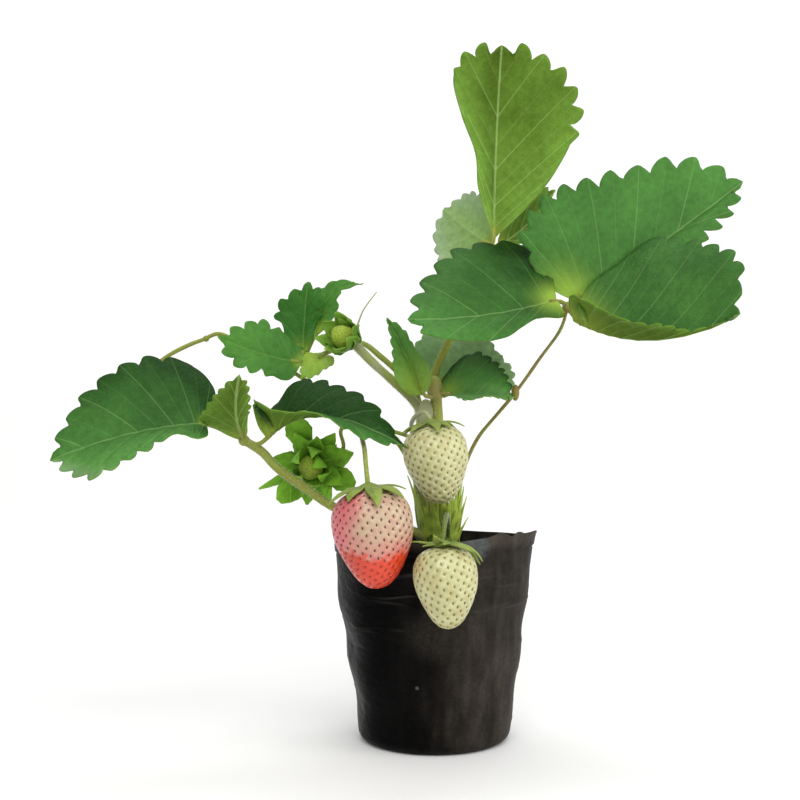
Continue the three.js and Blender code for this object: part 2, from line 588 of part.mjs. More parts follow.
// Fruit stalks. Each has its stems as paths with radii, and the calyces at their ends.
const STALKS = {
  truss_left: {
    colour: STALK_GREEN,
    stems: [
      [[[0.5, -4, 83], [-2, -6, 91], [-7.5, -8.5, 103], [-11, -8.5, 113], [-16, -9, 121.5], [-23, -11, 127],
        [-31, -13, 129]], 1.2],
      [[[-31, -13, 129], [-30, -22, 124], [-28.5, -33, 119.5], [-27.6, -44, 113.5], [-26.7, -51, 107]], 0.9],
      [[[-31, -13, 129], [-36, -9.5, 129], [-38.8, -6, 125.5], [-38, 0, 118.5], [-42, 4.5, 113],
        [-48, 5, 111.2], [-50.9, 1.6, 111]], 0.8],
    ],
    calyces: [['berry_blush', { count: 9, length: 10.5, width: 6, lift: 1.2 }]],
    youngCalyces: [['young_fruit_lower', { from: -8, to: 18, sepals: [[-110, 21, 15], [-55, 16, 9],
      [-18, 17, 12], [24, 18, 13], [64, 12, 9], [98, 15, 10], [133, 19, 13], [156, 23, 5], [195, 14, 9]] }]],
  },
  truss_centre: {
    colour: STALK_GREEN,
    stems: [
      [[[-1.5, 1, 84], [-2.5, 2, 92], [-5, 7, 110], [-6, 11, 124], [-7, 12.3, 134], [-10.2, 12.5, 138.8],
        [-17.7, 12.7, 146], [-26.1, 13, 153.5], [-31.5, 12.3, 159], [-34.4, 10, 161.8]], 1.8],
      [[[-6, 11, 122], [-10, 2, 126], [-9, -10, 131], [-5, -20, 133], [-2.7, -23.8, 130]], 0.9],
      [[[-34.2, 10, 162], [-32.5, 8.5, 169], [-30, 8, 175.5], [-24.5, 8, 183]], 0.5],
    ],
    calyces: [['berry_white_upper', { count: 8, length: 9.5, width: 5, lift: 1.4 }]],
    youngCalyces: [['young_fruit_upper', { from: 25, to: 85, sepals: [[0, 13, 8], [45, 14, 8], [90, 15, 9],
      [135, 14, 9], [180, 16, 9], [225, 15, 9], [270, 15, 9], [315, 13, 8]] }]],
  },
  pedicel_lower: {
    colour: STALK_GREEN,
    stems: [[[[4.5, -4.5, 79], [4.5, -10, 86], [4, -22, 92], [3, -36, 93.5], [1.8, -48, 91],
      [0.9, -53, 86]], 1]],
    calyces: [['berry_white_lower',
      { count: 9, length: 10.5, width: 4.4, lift: 3.4, right: 0.38, front: 0.45 }]],
    youngCalyces: [],
  },
  runner: {
    colour: STALK_GREEN,
    stems: [[[[-3.5, 1.5, 79], [-6.8, 5.5, 86], [-8.2, 12.5, 100], [-8, 19.5, 112], [-9.5, 22, 121],
      [-20, 24, 125.5], [-30, 24.5, 131.5], [-42, 25, 138], [-53, 26, 145], [-70, 27, 155.5],
      [-84, 27, 162.5], [-93, 26, 166.5], [-99, 24, 164], [-105, 22, 161.5], [-114, 20, 156.5],
      [-121, 18, 150.5]], 0.9]],
    knobs: [[[-98, 24.2, 164.3], 1.4, 1.4], [[-121, 18, 150.5], 1.8, 3]],
    calyces: [],
    youngCalyces: [],
  },
};

// Stipules round the crown: the way they face, length, width and how far they lean out.
const STIPULES = [
  { turn: -155, length: 32, width: 10, lean: 22 },
  { turn: -118, length: 29, width: 7.5, lean: 16 },
  { turn: -62, length: 22, width: 8, lean: 24 },
  { turn: -20, length: 31, width: 8, lean: 5 },
  { turn: 48, length: 20, width: 8, lean: 28 },
  { turn: 125, length: 18, width: 8, lean: 34 },
  { turn: -92, length: 34, width: 6, lean: 6 },
  { turn: -137, length: 25, width: 6, lean: 8 },
  { turn: -40, length: 27, width: 6, lean: 10 },
  { turn: 5, length: 23, width: 6, lean: 16 },
  { turn: 165, length: 27, width: 7, lean: 14 },
  { turn: 90, length: 29, width: 7, lean: 8 },
];

function stipule({ turn, length, width, lean }) {
  const a = radians(turn);
  const out = new THREE.Vector3(Math.cos(a), Math.sin(a), 0);
  const across = new THREE.Vector3(-Math.sin(a), Math.cos(a), 0);
  const place = new THREE.Vector3(CROWN_X, 0, STIPULE_ROOT).addScaledVector(out, CROWN_RADIUS - 1.2);
  const step = length / STIPULE_STEPS;
  const grid = [];
  for (let i = 0; i <= STIPULE_STEPS; i += 1) {
    const s = i / STIPULE_STEPS;
    const tilt = radians(STIPULE_TILT - lean * s);
    const half = width / 2 * (1 - s ** STIPULE_TAPER) + 0.2;
    const cup = STIPULE_CUP * (1 - s);
    grid.push([-1, 0, 1].map((k) => (
      place.clone().addScaledVector(across, k * half).addScaledVector(out, -cup * Math.abs(k)))));
    place.addScaledVector(out, step * Math.cos(tilt));
    place.z += step * Math.sin(tilt);
  }
  return blade(grid, BLADE);
}

// Every stem that stands in the crown, as a path and a radius.
const rooted = [
  ...Object.values(LEAVES).map((leaf) => [leaf.petiole, leaf.radius]),
  ...Object.values(STALKS).map((stalk) => stalk.stems[0]),
];

function crown() {
  const outline = [[0, CROWN_FOOT], [6, CROWN_FOOT], [7.6, 65], [8.1, 73], [CROWN_RADIUS, 80], [7.4, 86],
    [4.6, 89.8], [0, CROWN_TOP]];
  const body = new THREE.LatheGeometry(outline.map(([r, z]) => new THREE.Vector2(r, z)), 16);
  body.rotateX(Math.PI / 2);
  body.translate(CROWN_X, 0, 0);
  let whole = fuse([body, ...STIPULES.map(stipule)]);
  for (const [path, radius] of rooted) whole = whole.subtract(solid(stem(path, radius, SOCKET_GAP)));
  return fromSolid(whole);
}

// Height of the turned rim at angles in degrees: 0 is the pinched corner at the right, and 90 is the back.
const RIM_LINE = [[0, 84.4], [8, 83.2], [25, 81.2], [60, 80.4], [90, 80.5], [130, 80.8], [180, 81.5],
  [210, 82.2], [240, 83], [265, 83.6], [280, 84], [290, 84.4], [300, 85.6], [310, 86.6], [318, 85.2],
  [324, 85.8], [336, 85.2], [350, 84.6], [360, 84.4]];

// Bag wall: the radius grows from foot to mouth, with a bulge high at the left and a tuck below it, soft
// folds round it and creases across it. Angle 0 is at the right and a quarter turn is at the back.
function bagRadius(z, a) {
  const rise = z / BAG_HEIGHT;
  const body = BAG_FOOT_RADIUS + (BAG_MOUTH_RADIUS - BAG_FOOT_RADIUS) * rise ** 0.85;
  const hump = (middle, spread) => Math.exp(-(((rise - middle) / spread) ** 2));
  const left = Math.max(0, -Math.cos(a));
  const bulge = left * (BAG_BULGE * hump(0.75, 0.22) - BAG_TUCK * hump(0.15, 0.2));
  const folds = FOLD_DEPTH * Math.sin(5 * a + 2.2 * rise) * rise + 0.3 * Math.sin(9 * a - 3 * rise);
  const crease = CREASE_DEPTH * Math.sin(z / 4.1 + 1.6 * Math.sin(2 * a)) * Math.sin(Math.PI * rise);
  const under = Math.max(0, BAG_CORNER - z);
  const corner = BAG_CORNER - Math.sqrt(BAG_CORNER ** 2 - under ** 2);
  return body + (bulge + folds + crease) * clamp(z / 14, 0, 1) - corner;
}

// Height of the bag's rim: straight stretches between the heights of the rim line.
function rimHeight(a) {
  const turn = THREE.MathUtils.radToDeg(a);
  const next = RIM_LINE.findIndex(([angle]) => angle > turn);
  const [[low, from], [high, to]] = RIM_LINE.slice(next - 1, next + 1);
  return from + (to - from) * (turn - low) / (high - low);
}

function bagRing(z, inset, height = () => z) {
  const ring = [];
  for (let j = 0; j < BAG_SIDES; j += 1) {
    const a = j * 2 * Math.PI / BAG_SIDES;
    const r = bagRadius(z, a) - inset;
    ring.push(new THREE.Vector3(BAG_CENTRE_X + r * Math.cos(a), r * Math.sin(a), height(a)));
  }
  return ring;
}

function growBag() {
  const wall = (inset) => WALL_LEVELS.map((z) => bagRing(z, inset));
  return rings([
    bagRing(0, 0),
    bagRing(FOOT_CURVE, 0),
    bagRing(BAG_CORNER, 0),
    ...wall(0),
    bagRing(HEM_LEVEL, 0),
    bagRing(BAG_HEIGHT, 0, rimHeight),
    bagRing(BAG_HEIGHT, BAG_WALL, rimHeight),
    bagRing(HEM_LEVEL, BAG_WALL),
    ...wall(BAG_WALL).reverse(),
    bagRing(BAG_CORNER, BAG_WALL, () => BAG_CORNER + INNER_LIFT / 2),
    bagRing(FOOT_CURVE, BAG_WALL, () => FOOT_CURVE + INNER_LIFT),
    bagRing(0, BAG_WALL, () => BAG_WALL),
  ]);
}

// Soil: it fills the bag a little below the rim, with a lumpy top and a plain round hole for the crown.
function soil() {
  const inset = BAG_WALL + GAP;
  const stack = [
    bagRing(0, inset, () => BAG_WALL + GAP),
    bagRing(FOOT_CURVE, inset, () => FOOT_CURVE + INNER_LIFT + GAP),
    bagRing(BAG_CORNER, inset, () => BAG_CORNER + INNER_LIFT / 2),
    ...WALL_LEVELS.map((z) => bagRing(z, inset)),
  ];
  const edge = stack[stack.length - 1];
  const hole = CROWN_RADIUS + GAP;
  const lump = (a, share) => SOIL_LUMP * Math.sin(7 * a + 9 * share) * Math.sin(5 * share + 3 * a);
  const holeRing = (z) => edge.map((_, j) => {
    const a = j * 2 * Math.PI / BAG_SIDES;
    return new THREE.Vector3(CROWN_X + hole * Math.cos(a), hole * Math.sin(a), z);
  });
  const rim = holeRing(SOIL_LEVEL);
  for (const share of [0.8, 0.53, 0.26]) {
    stack.push(edge.map((p, j) => {
      const point = rim[j].clone().lerp(p, share);
      point.z = SOIL_LEVEL + lump(j * 2 * Math.PI / BAG_SIDES, share);
      return point;
    }));
  }
  stack.push(rim, holeRing(CROWN_FOOT - GAP));
  return rings(stack);
}

function leaf(spec) {
  return fromSolid(fuse([
    stem(spec.petiole, spec.radius),
    ...spec.knobs.map((size) => knob(...size)),
    ...spec.stalks.map((path) => stem(path, STALK_RADIUS)),
    ...spec.leaflets.map(leafletSolid),
  ]));
}

function stalk(spec) {
  return fromSolid(fuse([
    ...spec.stems.map(([path, radius]) => stem(path, radius)),
    ...(spec.knobs ?? []).map((size) => knob(...size)),
    ...spec.calyces.flatMap(([name, sizes]) => calyx(BERRIES[name], sizes)),
    ...spec.youngCalyces.flatMap(([name, sizes]) => youngCalyx(BERRIES[name], sizes)),
  ]));
}

const plant = new THREE.Group();

function add(name, geometry, color, roughness) {
  const material = new THREE.MeshStandardMaterial({ color, roughness, metalness: 0 });
  const mesh = new THREE.Mesh(geometry, material);
  mesh.name = name;
  plant.add(mesh);
}

add('grow_bag', growBag(), FILM_BLACK, 0.42);
add('soil', soil(), SOIL_BROWN, 0.95);
add('crown', crown(), CROWN_GREEN, 0.7);
for (const [name, spec] of Object.entries(LEAVES)) add(name, leaf(spec), spec.colour, 0.6);
for (const [name, spec] of Object.entries(STALKS)) add(name, stalk(spec), spec.colour, 0.65);
for (const [name, spec] of Object.entries(BERRIES)) add(name, berry(spec), spec.colour, 0.4);

export default plant;
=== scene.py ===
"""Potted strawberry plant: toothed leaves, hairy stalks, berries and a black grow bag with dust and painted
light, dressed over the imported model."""
import functools
import math

import bpy
import numpy as np
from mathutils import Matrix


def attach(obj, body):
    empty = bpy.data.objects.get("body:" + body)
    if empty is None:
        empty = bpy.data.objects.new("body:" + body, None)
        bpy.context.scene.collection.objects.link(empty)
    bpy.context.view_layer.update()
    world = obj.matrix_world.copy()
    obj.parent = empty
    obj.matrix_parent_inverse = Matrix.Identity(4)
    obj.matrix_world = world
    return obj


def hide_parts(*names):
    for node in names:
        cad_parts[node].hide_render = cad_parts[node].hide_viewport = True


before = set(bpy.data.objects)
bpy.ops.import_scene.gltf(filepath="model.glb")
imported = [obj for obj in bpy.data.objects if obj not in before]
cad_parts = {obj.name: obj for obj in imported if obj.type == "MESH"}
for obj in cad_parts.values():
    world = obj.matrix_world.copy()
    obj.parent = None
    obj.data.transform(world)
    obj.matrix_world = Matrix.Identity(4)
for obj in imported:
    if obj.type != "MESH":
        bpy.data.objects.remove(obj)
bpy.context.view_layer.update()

bl_info = {
    "name": "Potted strawberry plant",
    "version": (1, 0, 0),
    "blender": (4, 5, 0),
    "location": "View3D > Sidebar > Strawberry",
    "description": "Makes the leaves, stalks, berries, grow bag and soil of a potted strawberry plant",
    "category": "Add Mesh",
}

MM = 0.001  # the tables below are in millimetres, and Blender's lengths are in metres
GOLDEN_TURN = math.pi * (3 - math.sqrt(5))

# Bag: the wall widens from foot to mouth by a power of the height, bulges and is tucked in at the left, and
# carries deep and fine folds up it and creases across it
BAG_HEIGHT = 82
BAG_FOOT_RADIUS = 30.5
BAG_MOUTH_RADIUS = 40
BAG_CENTRE_X = -0.9
BAG_CORNER = 4
BAG_FLARE = 0.85
BAG_BULGE, BAG_TUCK = 1.4, 1.2
FOLD_DEPTH, FINE_FOLD_DEPTH, CREASE_DEPTH = 0.45, 0.3, 0.5
BAG_FLOOR = 0.5
HEM_LEVEL = 77
HEM_STEP, HEM_EDGE = 0.45, 0.25
RIM_JAG, RIM_WAVE, RIM_PINCH = 0.45, 0.25, 1.4
# Height of the turned rim at angles in degrees: 0 is the pinched corner at the right, a quarter turn the back
RIM_LINE = [(0, 84.4), (8, 83.2), (25, 81.2), (60, 80.4), (90, 80.5), (130, 80.8), (180, 81.5), (210, 82.2),
            (240, 83), (265, 83.6), (280, 84), (290, 84.4), (300, 85.6), (310, 86.6), (318, 85.2),
            (324, 85.8), (336, 85.2), (350, 84.6), (360, 84.4)]
# Creases that show in front: angle and span in radians, height, slope, share of the full height, half width
FRONT_CREASES = [(-1.95, 0.34, 62.6, 1.0, 0.8, 0.4), (-1.05, 0.35, 70, -3.0, 0.6, 0.6),
                 (-0.75, 0.4, 66, -4.5, 0.65, 0.7), (-0.95, 0.5, 58, 2.0, 0.5, 0.8),
                 (-1.3, 0.5, 71.5, 1.2, 0.5, 0.5), (-2.5, 0.4, 47, 3.0, 0.4, 1.0)]
LOOSE_CREASES = 46
# Lighter spots on the film, the bluish one at the hem a painted sheen: middle, core and reach in metres,
# strength and colour
FILM_SPOTS = [((-0.003, -0.036, 0.048), 0.002, 0.013, 0.2, "#5a544c"),
              ((-0.0083, -0.034, 0.0275), 0.0003, 0.0011, 0.7, "#6a675f"),
              ((0.014, -0.0365, 0.0825), 0.003, 0.008, 0.9, "#565b5c")]

# Soil and crown: levels of the soil's top and of the lowest points of soil and crown, and the soil's lumps
SOIL_LEVEL, SOIL_FOOT, CROWN_FOOT = 72, 62, 61
LUMP_HEIGHT, FINE_LUMP_HEIGHT = 1.5, 0.5
HEAP_HEIGHT, HEAP_RADIUS, HEAP_WIDTH = 1.6, 9, 6
SOIL_RIM, SOIL_GAP, CRUMB_GAP = 70.0, 1.2, 2  # height that sets the soil's width, and gaps to the bag there
CROWN_X = 1.5
CROWN_RADIUS = 8.5
CROWN_TOP = 91
CROWN_OUTLINE = [(0.1, CROWN_FOOT), (6, CROWN_FOOT), (7.6, 65), (8.1, 73), (CROWN_RADIUS, 80), (7.4, 86),
                 (4.6, 89.8), (0.1, CROWN_TOP)]

# Stipules: height and inset of the root, the lean there, and how they are cupped and drawn to a point
STIPULE_ROOT, STIPULE_INSET = 76, 1.2
STIPULE_TILT, STIPULE_CUP, STIPULE_TAPER = 86, 0.9, 2.2
# Stipules round the crown: turn, length, width, lean. Each is split into two strands of a share of its width.
STIPULES = [(-155, 32, 10, 22), (-118, 29, 7.5, 16), (-62, 22, 8, 24), (-20, 31, 8, 5), (48, 20, 8, 28),
            (125, 18, 8, 34), (-92, 34, 6, 6), (-137, 25, 6, 8), (-40, 27, 6, 10), (5, 23, 6, 16),
            (165, 27, 7, 14), (90, 29, 7, 8)]
STRAND_TURNS = [(-10, 1), (9, 1.15)]  # turn from the stipule's middle, and how many times shorter
STRAND_WIDTH, STRAND_LEAN = 0.45, 0.75
# Shorter strands in front and at the right, of the same measures
SHOOTS = [(-10, 15, 4, 30), (-28, 13, 4, 34), (-40, 16, 3.5, 24), (-75, 20, 4, 10), (-100, 17, 4, 6),
          (-60, 26, 3, 6)]

# Margin teeth: a tooth peaks at this share of its step, rises and falls by these powers, and is up to this
# share deeper or shallower than the mean
TOOTH_PEAK = 0.64
TOOTH_RISE, TOOTH_FALL = 0.75, 0.8
TOOTH_VARIETY = 0.22
TOOTH_SHARES = np.array([0, 0.07, 0.16, 0.28, 0.4, 0.52, 0.6, TOOTH_PEAK, 0.7, 0.78, 0.88])
# Blades: powers by which the rows and the side veins start from the midrib, columns in half a leaflet, power
# of the fold along it, and its curl, arch and wave
ROW_SWEEP, VEIN_SWEEP = 1.6, 2.6
HALF_COLUMNS = 16
FOLD_POWER = 0.6
CURL_SHARE = 0.35
ARCH, WAVE, WAVES = 0.05, 0.8, 2.3
ROW_BEND = 0.4  # share of a row over which it turns square to the margin
TIP_REACH = 0.45  # share of a tooth by which the blade passes its midrib's tip
# Quilting: the vein spacing from which it has its full height, the power and the mean of its profile, and the
# groove along the midrib: depth as a share of the quilting, and width
QUILT_SPACING, QUILT_POWER, QUILT_MEAN = 5, 0.8, 0.6
GROOVE_DEPTH, GROOVE_WIDTH = 1.2, 1.1
PALE_MARGIN = 0.35  # by how much the underside is lighter at the margin
FRESH_REACH = 7  # distance from the base over which the root colour fades to a third

# The leaves: the petiole's path, radius and share of it at the tip, its swollen joints, the leaflets' stalks,
# and the underside's tone at base and tip. A leaflet has the base, middle control and tip of its midrib, the
# way its top side faces, the size, count and start of its teeth, the reach (along, out) of its left and right
# margins, their fold angles at base and tip, and its tone from dark 0 to light 1 at base and tip. Both tones
# paint light and shade along with some change of the leaf's own green, and above 1 a pale sheen. The root
# colour keeps closer to the base where "fresh" is larger. Tilt paints light on the right half and shade on
# the left one, and edge changes the painted tone at the left margin.
LEAVES = {
    "leaf_upper_right": {
        "slot": "leaf_green", "radius": 0.8, "back": (0.15, 0.05), "taper": 0.8,
        "petiole": [(5.5, 1.5, 79), (7, 2, 88), (10, 2.6, 104), (14, 2.2, 116), (18, 1.8, 123.5),
                    (25, 1, 132), (32.5, 0, 141), (42.5, 0, 155), (51, 0, 167), (54, 0, 176)],
        "knobs": [((32.5, 0, 141), 1.7, 3.4), ((54, 0, 176), 2.4, 2.4)],
        "stalks": [[(54, 0, 176), (57, 4, 178.5), (60, 7, 181)],
                   [(54, 0, 176), (55, -3, 173.5), (59, -5, 168.5)],
                   [(54, 0, 176), (51, -3, 178), (46, -5, 178)]],
        "leaflets": [
            {"base": (57, 6, 179), "mid": (87, 18, 197), "tip": (134, 36, 232.5), "up": (0.1, -1, 0.1),
             "tooth": 5.2, "teeth": 8, "bare": 0.34, "left_bare": 0.14, "tone": (0.55, 0.8), "fresh": 0.5,
             "left": [(-5, 9), (-6, 21), (2, 37), (28, 42), (56, 35), (82, 24.5), (96, 9)],
             "right": [(14, 8), (40, 14), (70, 11), (90, 6)], "right_fold": (15, 35)},
            {"base": (56, -4, 170.5), "mid": (84, -14, 153.5), "tip": (117, -24, 171),
             "up": (0.1, -0.85, 0.5),
             "tooth": 3.2, "teeth": 7, "bare": 0.45, "tone": (0.4, 0.5), "fresh": 0.5,
             "left": [(1, 18), (10, 34), (30, 51.5), (54, 44), (71, 24)],
             "right": [(0, 19), (8, 22), (24, 20), (37, 14), (44, 8), (48, 3), (60, 2)],
             "right_fold": (80, 76)},
            {"base": (49, -4, 179), "mid": (21, -16, 170), "tip": (-10, -26, 169.5), "up": (-0.2, -0.75, 0.6),
             "tooth": 4.4, "teeth": 6, "bare": 0.3, "left_bare": 0.86, "tone": (0.1, 0.8), "fresh": 0.8,
             "tilt": -0.15,
             "left": [(1, 9), (5, 9.5), (13, 8), (22, 11), (31, 14), (48, 14), (59, 10.5)],
             "right": [(-6, 17), (-5, 33), (10, 43), (32, 38), (52, 21)]},
        ],
    },
    "leaf_upright": {
        "slot": "leaf_underside", "radius": 1.7, "back": (0.6, 0.05), "taper": 0.9,
        "petiole": [(3, 4, 84), (3, 5.5, 92), (2, 8, 112), (-0.5, 11, 135), (0, 12, 149), (6, 16, 163),
                    (16, 24, 186), (25, 33, 204)],
        "knobs": [((25, 33, 204), 2.3, 2.3)],
        "stalks": [[(25, 33, 204), (26, 32, 208), (26, 32.5, 213)],
                   [(25, 33, 204), (25, 36, 206), (22, 41, 208.5)],
                   [(25, 33, 204), (28, 36, 206), (31, 40, 208.5)]],
        "leaflets": [
            {"base": (26, 32, 208), "mid": (27, 38, 252), "tip": (29, 28, 289), "up": (0, 0.98, 0.1),
             "tooth": 5.2, "teeth": 6, "bare": 0.45, "right_bare": 0.74, "tone": (0.8, 0.4),
             "left": [(12, 13), (28, 26), (47, 35), (62, 34), (75, 24), (82, 11)], "left_fold": (20, 0),
             "right": [(20, 7), (36, 9), (53, 16), (70, 20), (81, 12)]},
            {"base": (25, 36, 206), "mid": (17, 50, 213), "tip": (6, 68, 226), "up": (0.2, 0.95, 0.1),
             "tooth": 1.8, "teeth": 5, "bare": 0.4, "back": (1.15, 1.3), "tone": (1.2, 1.3),
             "left": [(8, 9), (22, 15.5), (37, 12)], "right": [(7, 10.5), (22, 19.5), (38, 13.5)]},
            {"base": (28, 36, 206), "mid": (42, 50, 214), "tip": (56, 62, 234), "up": (-0.5, 0.75, 0.4),
             "tooth": 1.8, "teeth": 5, "bare": 0.4, "back": (0.4, 0.3), "tone": (0.3, 0.2),
             "left": [(8, 4), (24, 7), (40, 5)], "right": [(8, 7), (24, 12), (40, 7)]},
        ],
    },
    "leaf_middle": {
        "slot": "leaf_green", "radius": 1.5, "back": (0.4, 0.3), "taper": 1.0,
        "petiole": [(3.5, -2, 84), (3.5, -3, 93), (2.5, -3, 110), (1.5, 0, 128), (1, 5, 140)],
        "knobs": [((1, 5, 140), 2.2, 2.2), ((-0.5, 6, 143), 3.4, 5.2)],
        "stalks": [[(1, 5, 140), (2, 4, 140.3), (6, 1, 140.6)], [(1, 5, 140), (4.5, 10.5, 141), (4, 17, 144)],
                   [(1, 5, 140), (-4, 3, 139.5), (-7, 1.5, 144)]],
        "leaflets": [
            {"base": (3, 4, 140), "mid": (17, -8, 141), "tip": (30, -14, 139), "up": (0.1, -0.8, 0.5),
             "tooth": 1.8, "teeth": 7, "bare": 0.35, "tone": (1.0, 1.1), "edge": -1.0,
             "left": [(-5, 9), (-2, 18), (7, 22), (17, 18), (27, 9)],
             "right": [(5, 6), (16, 9), (26, 6)], "right_fold": (40, 40)},
            {"base": (2, 16, 142), "mid": (14, 22, 151), "tip": (29, 28, 157), "up": (0.1, -0.85, 0.5),
             "tooth": 1.8, "teeth": 6, "bare": 0.3, "tone": (1.2, 1.35),
             "left": [(1, 11), (4, 22), (15, 25), (26, 18), (32, 8)],
             "right": [(4, 6), (14, 12), (26, 16), (33, 9)]},
            {"base": (-6, 2, 140), "mid": (-10, -3, 153), "tip": (-20, -6, 171), "up": (-0.5, -0.8, 0.2),
             "tooth": 0.8, "teeth": 4, "bare": 0.5, "tone": (1.1, 0.9), "fresh": 0.4,
             "left": [(3, 5), (12, 8), (22, 5), (30, 2)], "left_fold": (40, 40),
             "right": [(5, 9), (15, 11), (26, 8), (33, 3)], "right_fold": (30, 30)},
        ],
    },
    "leaf_left": {
        "slot": "leaf_green", "radius": 1.8, "back": (0.3, 0.2), "taper": 0.95,
        "petiole": [(-1, -2, 79), (-7, -3.5, 83.5), (-18, -6, 87), (-41.2, -12, 95.1), (-54, -15, 104),
                    (-63.6, -16.8, 111), (-69.5, -17.5, 117.5), (-76.5, -18, 122)],
        "knobs": [((-76.5, -18, 122), 2.3, 2.3)],
        "stalks": [[(-76.5, -18, 122), (-84, -19, 126), (-93, -20.3, 129)],
                   [(-76.5, -18, 122), (-76.5, -21, 124), (-77.5, -26, 127)],
                   [(-76.5, -18, 122), (-71, -18.5, 120.5), (-65, -20.6, 125)]],
        "leaflets": [
            {"base": (-91, -20, 129), "mid": (-119, -26, 128), "tip": (-147, -36, 115.5),
             "up": (-0.1, -0.85, 0.5),
             "tooth": 3.3, "teeth": 7, "bare": 0.32, "tone": (0.2, 0.9), "tilt": -0.4, "fresh": 2.2,
             "left": [(2, 13), (8, 14), (14, 8), (28, 13.5), (45, 22), (54, 16)], "left_fold": (34, 22),
             "right": [(-6, 14), (-1, 27), (10, 33), (28, 31), (43, 23), (53, 12)]},
            {"base": (-76, -18, 122.5), "mid": (-80, -34, 130), "tip": (-74, -53, 147), "up": (0, 0.6, 0.75),
             "tooth": 1.4, "teeth": 5, "bare": 0.45, "tone": (0.5, 0.1),
             "left": [(10, 3), (25, 5), (37, 4)], "left_fold": (10, 10),
             "right": [(4, 9), (13, 15), (26, 10), (37, 5)], "right_fold": (10, 10)},
            {"base": (-67, -20, 122.8), "mid": (-49, -26, 142), "tip": (-13, -30, 120),
             "up": (0.1, -0.75, 0.65),
             "tooth": 2.6, "teeth": 6, "bare": 0.38, "tone": (-0.3, 0.25), "tilt": 0.5,
             "left": [(-2, 6), (-1, 13), (7, 14.5), (12, 20), (21, 20), (33, 16), (47, 10.5)],
             "right": [(-2, 8), (1, 18), (11, 13), (22, 9), (36, 12), (51, 7)], "right_fold": (115, 15)},
        ],
    },
    "leaf_bright": {
        "slot": "leaf_young", "radius": 1.3, "back": (0.9, 0.5), "taper": 0.9,
        "petiole": [(-1.5, 5, 81), (-3.5, 7.5, 89), (-7, 13, 110), (-6.5, 16.5, 128), (-7.6, 17.5, 140),
                    (-15, 17.5, 149), (-23.3, 17, 156.6), (-31, 17, 162), (-42, 18, 160), (-50, 18, 156),
                    (-56, 17, 154)],
        "knobs": [((-56, 17, 154), 1.9, 1.9)],
        "stalks": [[(-56, 17, 154), (-56, 17.5, 156), (-56, 18, 159)],
                   [(-56, 17, 154), (-58, 16, 154.2), (-61, 15.6, 154.6)],
                   [(-56, 17, 154), (-54.5, 20, 158), (-51, 22, 166)],
                   [(-48, 18, 157), (-47, 16, 157), (-48.5, 12.5, 156)]],
        "leaflets": [
            {"base": (-56, 16, 154), "mid": (-73, 14, 156), "tip": (-90, 10, 164), "up": (0, -0.9, 0.4),
             "tooth": 2.8, "teeth": 4, "bare": 0.35, "tone": (0.4, 0.6), "fresh": 2,
             "left": [(4, 9), (14, 8), (24, 9), (32, 5)],
             "right": [(1, 8), (6, 12), (12, 11.5), (22, 14.5), (29, 9)]},
            {"base": (-56, 18, 154), "mid": (-56, 20, 172), "tip": (-54, 18, 187), "up": (0, -0.95, 0.2),
             "tooth": 2.8, "teeth": 3, "bare": 0.45, "tone": (-0.1, 0.1),
             "left": [(4, 8), (13, 8.5), (20, 12), (27, 8)], "right": [(8, 4), (15, 5), (24, 7), (31, 5)]},
            {"base": (-51, 22, 165), "mid": (-50, 26, 188), "tip": (-31, 24, 188), "up": (0, -0.7, 0.6),
             "tooth": 1.2, "teeth": 3, "bare": 0.4, "tone": (0.4, 0.6),
             "left": [(9, 5), (18, 6), (26, 4)], "right": [(6, 6), (15, 7), (24, 2)]},
            {"base": (-47, 16, 157), "mid": (-50, 11, 156), "tip": (-56, 8, 147), "up": (-0.3, -0.8, 0.5),
             "tooth": 0.8, "teeth": 3, "bare": 0.5, "tone": (0.9, 1.0), "fresh": 0.35,
             "left": [(1, 6), (8, 8), (14, 4)], "right": [(1, 5), (8, 6), (13, 3)]},
        ],
    },
}

# Berries: middle of the top, tip, largest radius
BERRIES = {
    "berry_blush": {"top": (-26.4, -51.5, 105), "tip": (-22.9, -52, 68.5), "radius": 15,
                    "slot": "berry_blush"},
    "berry_white_upper": {"top": (-2.4, -24, 128), "tip": (1.5, -25, 97.5), "radius": 12.6,
                          "slot": "berry_white"},
    "berry_white_lower": {"top": (1, -53.5, 84), "tip": (3.2, -54.5, 54), "radius": 11.8,
                          "slot": "berry_white"},
    "young_fruit_upper": {"top": (-35.2, 9, 162.3), "tip": (-42, 0.5, 166.5), "radius": 5,
                          "slot": "young_fruit"},
    "young_fruit_lower": {"top": (-51, 0, 110.8), "tip": (-51.5, -8, 109.8), "radius": 5,
                          "slot": "young_fruit"},
}
YOUNG_RADIUS = 8  # a fruit of less than this is young
YOUNG_SEED_GAP, YOUNG_PIT = 1.5, 0.2
SEED_SIZE, YOUNG_SEED_SIZE = 1.15, 0.75
SEED_SHAPE = np.array([0.26, 0.25, 0.52])  # half its width, thickness and length, as shares of its size
LAST_SEED = 0.93  # share of the outline past which the calyx hides the seeds
SEED_PACKING, SEED_SINK = 0.93, 0.55  # skin area to each seed over its gap squared; share of the pit's depth
# Pits and the lips round them: widths and place as shares of the gap, and height as a share of the depth
PIT_WIDTH, LIP_PLACE, LIP_WIDTH, LIP_HEIGHT = 0.25, 0.5, 0.22, 0.35
BERRY_UNEVEN = (0.018, 0.012)  # shares of the radius, three and five times round

# The blushed berry: height of its ripe edge across its front, width of the change to red, reach of the pink
# above it, and the place from which the pink grows towards the left shoulder
RIPE_LINE = [(-36, 83.5), (-29.4, 82.7), (-26.2, 80.9), (-22.7, 79.8), (-19.8, 81.5), (-15.2, 83.5),
             (-10, 84.5)]
RIPE_CHANGE, PINK_REACH = 8, 6
SHOULDER_X, SHOULDER_Z = -26.4, 94

